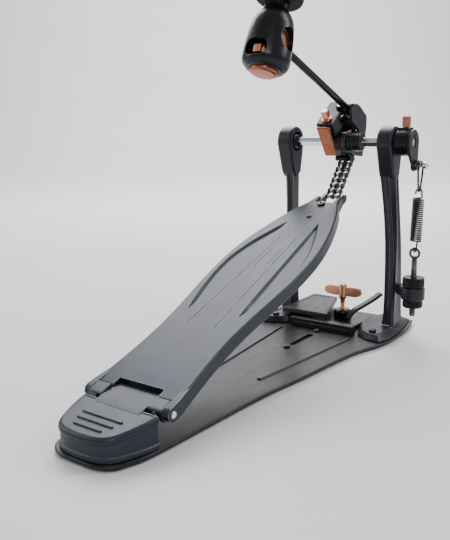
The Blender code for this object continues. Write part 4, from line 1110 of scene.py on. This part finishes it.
def make_beater_fittings():
    """Cross barrel that holds the rod, square-headed lock screw and rear plate."""
    hole = rod(ROD_BORE_R, HEAD - ROD_DIR * 30, HEAD + ROD_DIR * 30)
    barrel = turned(both_ends(BARREL_END), BARREL_PLACE, X_AXIS, 64)
    piece("beater_cross_barrel", barrel, COPPER_LOOK, "beater_barrel", [cut(hole)], 0.12, 2)
    shape = ((1.0, 11.5), (1.0, 15.0), (0.9, 15.4), (0.72, 15.6))
    head = loft([[(x * k, y * k, z) for x, y in square_outline(3.3, 0.6)] for k, z in shape])
    steps = [join(placed(head, SCREW_PLACE, ROD_DIR))]
    screw = turned(SCREW_COLLAR, SCREW_PLACE, ROD_DIR, 48)
    piece("beater_lock_screw", screw, COPPER_LOOK, "beater_screw", steps, 0.2, 3)
    cap = turned(REAR_CAP, HEAD, STRIKE_DIR, 72)
    piece("beater_rear_cap", cap, BRONZE_LOOK, "beater_back_plate")


def make_felt():
    """Felt disc with a softly crowned face and a slightly uneven rim."""
    profile = [(0, 29.3)] + spline(FELT_CURVE, 4) + [(0, 46.2)]
    felt = turned(profile, HEAD, STRIKE_DIR, 96)
    for vert in felt.verts:
        out = vert.co - HEAD
        out -= STRIKE_DIR * out.dot(STRIKE_DIR)
        if out.length > 5:
            x, y, z = vert.co
            ripple = math.sin(x * 1.9) * math.sin(z * 2.3 + 1.0) * math.sin(y * 1.3)
            vert.co -= out.normalized() * 0.18 * (1 + ripple)
    piece("felt_disc", felt, FELT_LOOK, "beater_felt", crease=60)


# ---- chain ----

# inner and outer face of the side plates at each side of a row of rollers
OUTER_PLATES = ((6.15, 6.9), (0.12, 0.8))
INNER_PLATES = ((5.25, 6.0), (0.95, 1.65))
ROLLER = both_ends([(0, -1.55), (1.5, -1.55), (1.75, -1.35), (1.85, -1.0)])
CHAIN_PIN = both_ends([(0, -7.2), (0.8, -7.2), (1.15, -6.95)])
ROLLER_X = 3.45


def plate_outline(length, height=2.75, waist=1.95):
    dip = [(length * 0.68, waist + 0.12), (length * 0.5, waist), (length * 0.32, waist + 0.12)]
    ends = arc((length, 0), height, -90, 90, 10), arc((0, 0), height, 90, 270, 10)
    return ends[0] + dip + ends[1] + [(x, -z) for x, z in dip[::-1]]


def rounded_plate(outline, low, high, chamfer=0.14):
    """A thin plate with a small chamfer round both faces."""
    small = inset_outline(outline, chamfer)
    rings = [(small, low), (outline, low + chamfer), (outline, high - chamfer), (small, high)]
    return loft([[(x, *p) for p in ring] for ring, x in rings])


def append(bm, other):
    mesh = bpy.data.meshes.new("part")
    other.to_mesh(mesh)
    other.free()
    bm.from_mesh(mesh)
    bpy.data.meshes.remove(mesh)


def chain_strands(name, node, pins, first, last_pin=False):
    """Rollers, side plates and pins of one stretch; first is the first link's number along the chain."""
    links, rollers = bmesh.new(), bmesh.new()
    for k, (start, end) in enumerate(zip(pins, pins[1:])):
        span = end - start
        turn = math.atan2(span.z, span.y)
        link_at = Matrix.Translation((0, start.y, start.z)) @ Matrix.Rotation(turn, 4, "X")
        for low, high in OUTER_PLATES if (first + k) % 2 else INNER_PLATES:
            for a, b in ((low, high), (-high, -low)):
                append(links, moved(rounded_plate(plate_outline(span.length), a, b), link_at))
    for pin in pins if last_pin else pins[:-1]:
        for x in (ROLLER_X, -ROLLER_X):
            append(rollers, turned(ROLLER, (x, pin.y, pin.z), X_AXIS, 24))
        append(links, turned(CHAIN_PIN, (0, pin.y, pin.z), X_AXIS, 20))
    piece(name, links, LINK_LOOK, node, crease=40)
    extra(f"{name}_rollers", rollers, ROLLER_GLINT_LOOK, node, crease=40)


def make_chain():
    step = 2 * math.asin(CHAIN_PITCH / 2 / CHAIN_R)
    first = math.atan2(PINS[0].z - AXLE_Z, PINS[0].y)
    anchor = AXLE + Vector((0, math.cos(first + step), math.sin(first + step))) * CHAIN_R
    chain_strands("chain_anchor", "chain_anchor_link", [anchor, PINS[0]], 0)
    for k in range(3):
        pair = [PINS[k], (PINS[k] + PINS[k + 1]) / 2, PINS[k + 1]]
        chain_strands(f"chain_bend_{k + 1}", f"chain_wrap_{k + 1}", pair, 1 + 2 * k)
    run = [PINS[3] + (TOE - PINS[3]) * k / RUN_LINKS for k in range(RUN_LINKS + 1)]
    chain_strands("chain_straight", "chain_run", run, 7, last_pin=True)


# ---- footboard: x across it, then the distance from the hinge along it ----

BOARD_HALF = [(37.2, 6.4), (36.4, 15), (35.1, 27), (33.5, 48), (32.8, 70), (33.7, 91), (35.4, 110),
              (39.4, 150), (40.2, 185), (37.0, 215), (30.0, 245), (21.8, 270), (15.4, 284)]
BOARD_NOSE = [(12.6, 297.5), (9.0, 297.5), (8.8, 286)]
BOARD_POCKET = [(30.4, 24), (28.8, 60), (32.4, 110), (36.4, 150), (37.2, 185), (34.0, 215), (27.0, 245),
                (16, 268)]
HINGE_NOTCH = [(19.9, 0), (19.9, 14.5), (-19.9, 14.5), (-19.9, 0)]
CLAMP_ROOM = [(-12.2, 262), (12.2, 262), (12.2, 310), (-12.2, 310)]
LEAF_OUTER = [(15.2, 246), (22.5, 228), (30.0, 206), (34.6, 184), (35.4, 165), (33.6, 145), (30.0, 124),
              (25.2, 104), (22.6, 97)]
LEAF_INNER = [(21.4, 112), (20.0, 140), (18.2, 175), (16.6, 210), (15.2, 236)]
LEAF_MIDDLE = 172
GROOVES = ([(13.6, 80), (12.4, 84), (10.2, 150), (8.2, 215), (7.0, 250)],
           [(5.4, 142), (4.6, 180), (3.6, 238)])
# along, inner x, outer x, bottom, top
LUG_SECTIONS = [(-4.8, 32.9, 37.2, -2.0, 2.2), (-2.5, 32.9, 37.6, -4.7, 4.8), (0, 32.9, 37.6, -5.4, 5.4),
                (8, 32.9, 37.3, -5.9, 4.8), (17, 32.2, 36.0, -5.8, 4.1), (26, 31.5, 34.6, -5.7, 2.6)]


def groove(points, half_width, depth):
    """A shallow V groove along points on the board's top face, narrower at its ends."""
    pts = [Vector(p) for p in points]
    rings = []
    for i, p in enumerate(pts):
        along = (pts[min(i + 1, len(pts) - 1)] - pts[max(i - 1, 0)]).normalized()
        side = Vector((along.y, -along.x))
        taper = 0.35 if i in (0, len(pts) - 1) else 1.0
        a, b = p + side * half_width * taper, p - side * half_width * taper
        above = BOARD_TOP + 0.3
        rings.append([(a.x, a.y, above), (b.x, b.y, above), (p.x, p.y, BOARD_TOP - depth * taper)])
    return loft(rings)


def level(line, along):
    """The x of a line of (x, along) points at a place along it, held at the line's ends."""
    points = sorted((s, x) for x, s in line)
    along = min(max(along, points[0][0]), points[-1][0])
    for (s0, x0), (s1, x1) in zip(points, points[1:]):
        if along <= s1:
            return x0 + (x1 - x0) * (along - s0) / max(s1 - s0, 1e-6)
    return points[-1][1]


def leaf_pocket(sign):
    """A leaf-shaped hollow with sloping walls."""
    outer, inner = spline(LEAF_OUTER, 4), spline(LEAF_INNER, 3)
    rings = []
    # how far the ring lies inside the leaf, its length against the leaf's, height above the board's top
    for inset, length, height in ((2.6, 0.95, -1.9), (2.2, 0.96, -1.75), (0.0, 1.0, 0.0), (0.4, 1.01, 0.4)):
        ring = []
        for x, along in outer[:-1] + inner:
            spine = (level(outer, along) + level(inner, along)) / 2
            step = inset if height > 0 else min(abs(spine - x) * 0.6, inset)
            place = LEAF_MIDDLE + (along - LEAF_MIDDLE) * length
            ring.append((x + math.copysign(step, spine - x), place, BOARD_TOP + height))
        rings.append(on_side(ring, sign))
    return loft(rings)


def hinge_lug(sign):
    """The ear beside a hinge block, as a solid in the board's frame."""
    return loft([[(sign * a, y, bottom), (sign * b, y, bottom), (sign * b, y, top), (sign * a, y, top)]
                 for y, a, b, bottom, top in spline(LUG_SECTIONS, 3)])


def make_footboard():
    """Board with a shallow pocket below, two leaf-shaped hollows and four grooves above, and hinge lugs."""
    outline = full_outline(spline(BOARD_HALF, 6) + BOARD_NOSE)
    below = BOARD_LOW - 1
    solids = [cut(prism(full_outline(BOARD_POCKET), "Z", below, BOARD_TOP - 3)),
              cut(prism(HINGE_NOTCH, "Z", -20, 20)),
              cut(prism(CLAMP_ROOM, "Z", below, BOARD_TOP - 3.2))]
    for sign in (1, -1):
        solids.append(cut(leaf_pocket(sign)))
        solids += [cut(groove(on_side(line, sign), 0.75, 0.85)) for line in GROOVES]
    solids += [join(hinge_lug(sign)) for sign in (1, -1)]
    steps = [(operation, moved(bm, BOARD_FRAME)) for operation, bm in solids] + [cut(hinge_bore())]
    board = moved(slab(outline, BOARD_LOW, BOARD_TOP, 1.5), BOARD_FRAME)
    piece("footboard_casting", board, BOARD_LOOK, "footboard", steps, crease=30)


def make_hinge():
    profile = both_ends([(0, -38.4), (1.5, -38.4), (1.9, -38.2), (2.3, -37.7)])
    piece("hinge_rod", turned(profile, HINGE, X_AXIS, 36), CHROME_LOOK, "hinge_pin")
    outline = [(-4.8, -4.4), (6, -4.4), (6, 5.2), (-3.6, 5.2), (-4.8, 4.2)]
    backward = BOARD_FRAME.to_3x3() @ Vector((0, -1, 0))
    for side, sign in SIDES:
        block = moved(side_prism(outline, sign, 20.4, 32.5), BOARD_FRAME)
        piece(f"hinge_{side}_block", block, HINGE_LOOK, f"hinge_block_{side}", [cut(hinge_bore())], 0.6, 3)
        base = on_board(sign * 26.4, -5.1, 1.2)
        socket_screw(f"hinge_{side}_screw", f"hinge_screw_{side}", base, backward, 2.7, 1.4)


def make_toe_clamp():
    low, high = BOARD_LOW + 0.2, BOARD_LOW + 6.4
    bracket = moved(box((-11.8, 263, low), (11.8, 285, high)), BOARD_FRAME)
    ear = [(280, low), (306, low), (309, BOARD_LOW + 3), (309, high), (280, high)]
    steps = [join(moved(side_prism(ear, sign, 8.6, 11.8), BOARD_FRAME)) for sign in (1, -1)]
    piece("toe_bracket", bracket, DARK_LOOK, "toe_clamp", steps, 0.5, 3)
    up = BOARD_FRAME.to_3x3() @ Vector(Z_AXIS)
    socket_screw("toe_front_screw", "toe_screw_front", on_board(0, 280.5, BOARD_TOP + GAP), up, 3.6, 1.6)
    socket_screw("toe_rear_screw", "toe_screw_rear", on_board(0, 256, BOARD_TOP + GAP), up, 2.2, 1.0)


# ---- stage, light and camera, in metres ----

CAMERA_YAW = -35.867
CAMERA_PITCH = 12.441
CAMERA_ROLL = -0.77
CAMERA_PLACE = (0.3008, -0.60051, 0.20545)
CAMERA_LENS = 46.17
SWEEP_START = 1.6
SWEEP_R = 1.2
AREA_LIGHTS = (
    # name, place, the point it faces, width and height, watts
    ("key_overhead", (-0.55, 0.45, 1.0), (0.0, -0.12, 0.08), (1.1, 0.8), 20.0),
    ("strip_right", (0.75, 0.5, 0.85), (0.0, -0.12, 0.08), (0.35, 0.9), 8.0),
    ("fill_left", (-0.95, -0.65, 0.55), (0.0, -0.15, 0.1), (0.6, 0.8), 4.0),
    ("front_high", (0.7, -1.0, 0.9), (0.0, -0.15, 0.12), (0.5, 0.4), 4.0),
    ("backdrop", (-0.7, 0.75, 1.3), (-1.5, 2.1, 0.5), (1.6, 0.6), 60.0),
)


def floor_look():
    n = Nodes("floor_pale")
    cloud = n.noise(3.0, 3.0)
    grain = n.noise(900.0, 3.0)
    base = n.mix(n.spread(cloud, 0.0, 1.0), (0.70, 0.705, 0.715), (0.735, 0.74, 0.75))
    return n.finish(base, n.spread(grain, 0.5, 0.62), [(grain, 0.08, 0.05)])


def make_floor():
    """Pale sweep: a flat floor that curves up far behind the object."""
    path = [(-2.6, 0.0), (SWEEP_START, 0.0)]
    for turn in (math.radians(angle) for angle in range(10, 91, 10)):
        path.append((SWEEP_START + SWEEP_R * math.sin(turn), SWEEP_R - SWEEP_R * math.cos(turn)))
    path.append((SWEEP_START + SWEEP_R, 4.0))
    bm = bmesh.new()
    facing = Matrix.Rotation(math.radians(-CAMERA_YAW), 4, "Z")
    rows = [[bm.verts.new(facing @ Vector((x, y, z))) for x in (-4.0, 4.0)] for y, z in path]
    for a, b in zip(rows, rows[1:]):
        bm.faces.new((a[0], a[1], b[1], b[0]))
    bmesh.ops.recalc_face_normals(bm, faces=bm.faces)
    mesh = bpy.data.meshes.new("studio_floor")
    bm.to_mesh(mesh)
    bm.free()
    mesh.shade_smooth()
    mesh.materials.append(floor_look())
    obj = bpy.data.objects.new("studio_floor", mesh)
    bpy.context.scene.collection.objects.link(obj)


def make_lights():
    world = bpy.data.worlds.new("studio")
    world.use_nodes = True
    background = world.node_tree.nodes["Background"]
    background.inputs["Color"].default_value = (0.86, 0.88, 0.92, 1.0)
    background.inputs["Strength"].default_value = 0.5
    bpy.context.scene.world = world
    for name, place, aim, size, watts in AREA_LIGHTS:
        light = bpy.data.lights.new(name, "AREA")
        light.shape = "RECTANGLE"
        light.size, light.size_y = size
        light.energy = watts
        obj = bpy.data.objects.new(name, light)
        bpy.context.scene.collection.objects.link(obj)
        obj.location = place
        obj.rotation_euler = (Vector(aim) - Vector(place)).to_track_quat("-Z", "Y").to_euler()


def make_camera():
    """Camera at the photograph's angle."""
    yaw, pitch, roll = (math.radians(angle) for angle in (CAMERA_YAW, CAMERA_PITCH, CAMERA_ROLL))
    forward = Vector((math.sin(yaw) * math.cos(pitch), math.cos(yaw) * math.cos(pitch), -math.sin(pitch)))
    right = Vector((math.cos(yaw), -math.sin(yaw), 0))
    up = right.cross(forward)
    rolled_right = right * math.cos(roll) + up * math.sin(roll)
    rolled_up = up * math.cos(roll) - right * math.sin(roll)
    data = bpy.data.cameras.new("camera")
    data.sensor_fit = "AUTO"
    data.sensor_width = 36.0
    data.lens = CAMERA_LENS
    data.clip_start = 0.01
    camera = bpy.data.objects.new("camera", data)
    bpy.context.scene.collection.objects.link(camera)
    turn = Matrix((rolled_right, rolled_up, -forward)).transposed().to_4x4()
    camera.matrix_world = Matrix.Translation(CAMERA_PLACE) @ turn
    bpy.context.scene.camera = camera


def main():
    make_base()
    make_heel()
    make_feet()
    make_posts()
    make_bridge()
    make_base_screws()
    make_hoop_clamp()
    make_wing_bolt()
    make_spring_bracket()
    make_eye_bolt()
    make_spring()
    make_spring_link()
    make_rocker_hub()
    make_rocker_plate()
    make_rocker_pin()
    make_rocker_bolt()
    make_shaft()
    make_cheeks()
    make_collar()
    make_cam()
    make_clamp_block()
    make_rod_socket()
    make_beater_rod()
    make_beater_shell()
    make_beater_fittings()
    make_felt()
    make_chain()
    make_footboard()
    make_hinge()
    make_toe_clamp()
    make_floor()
    make_lights()
    make_camera()


main()
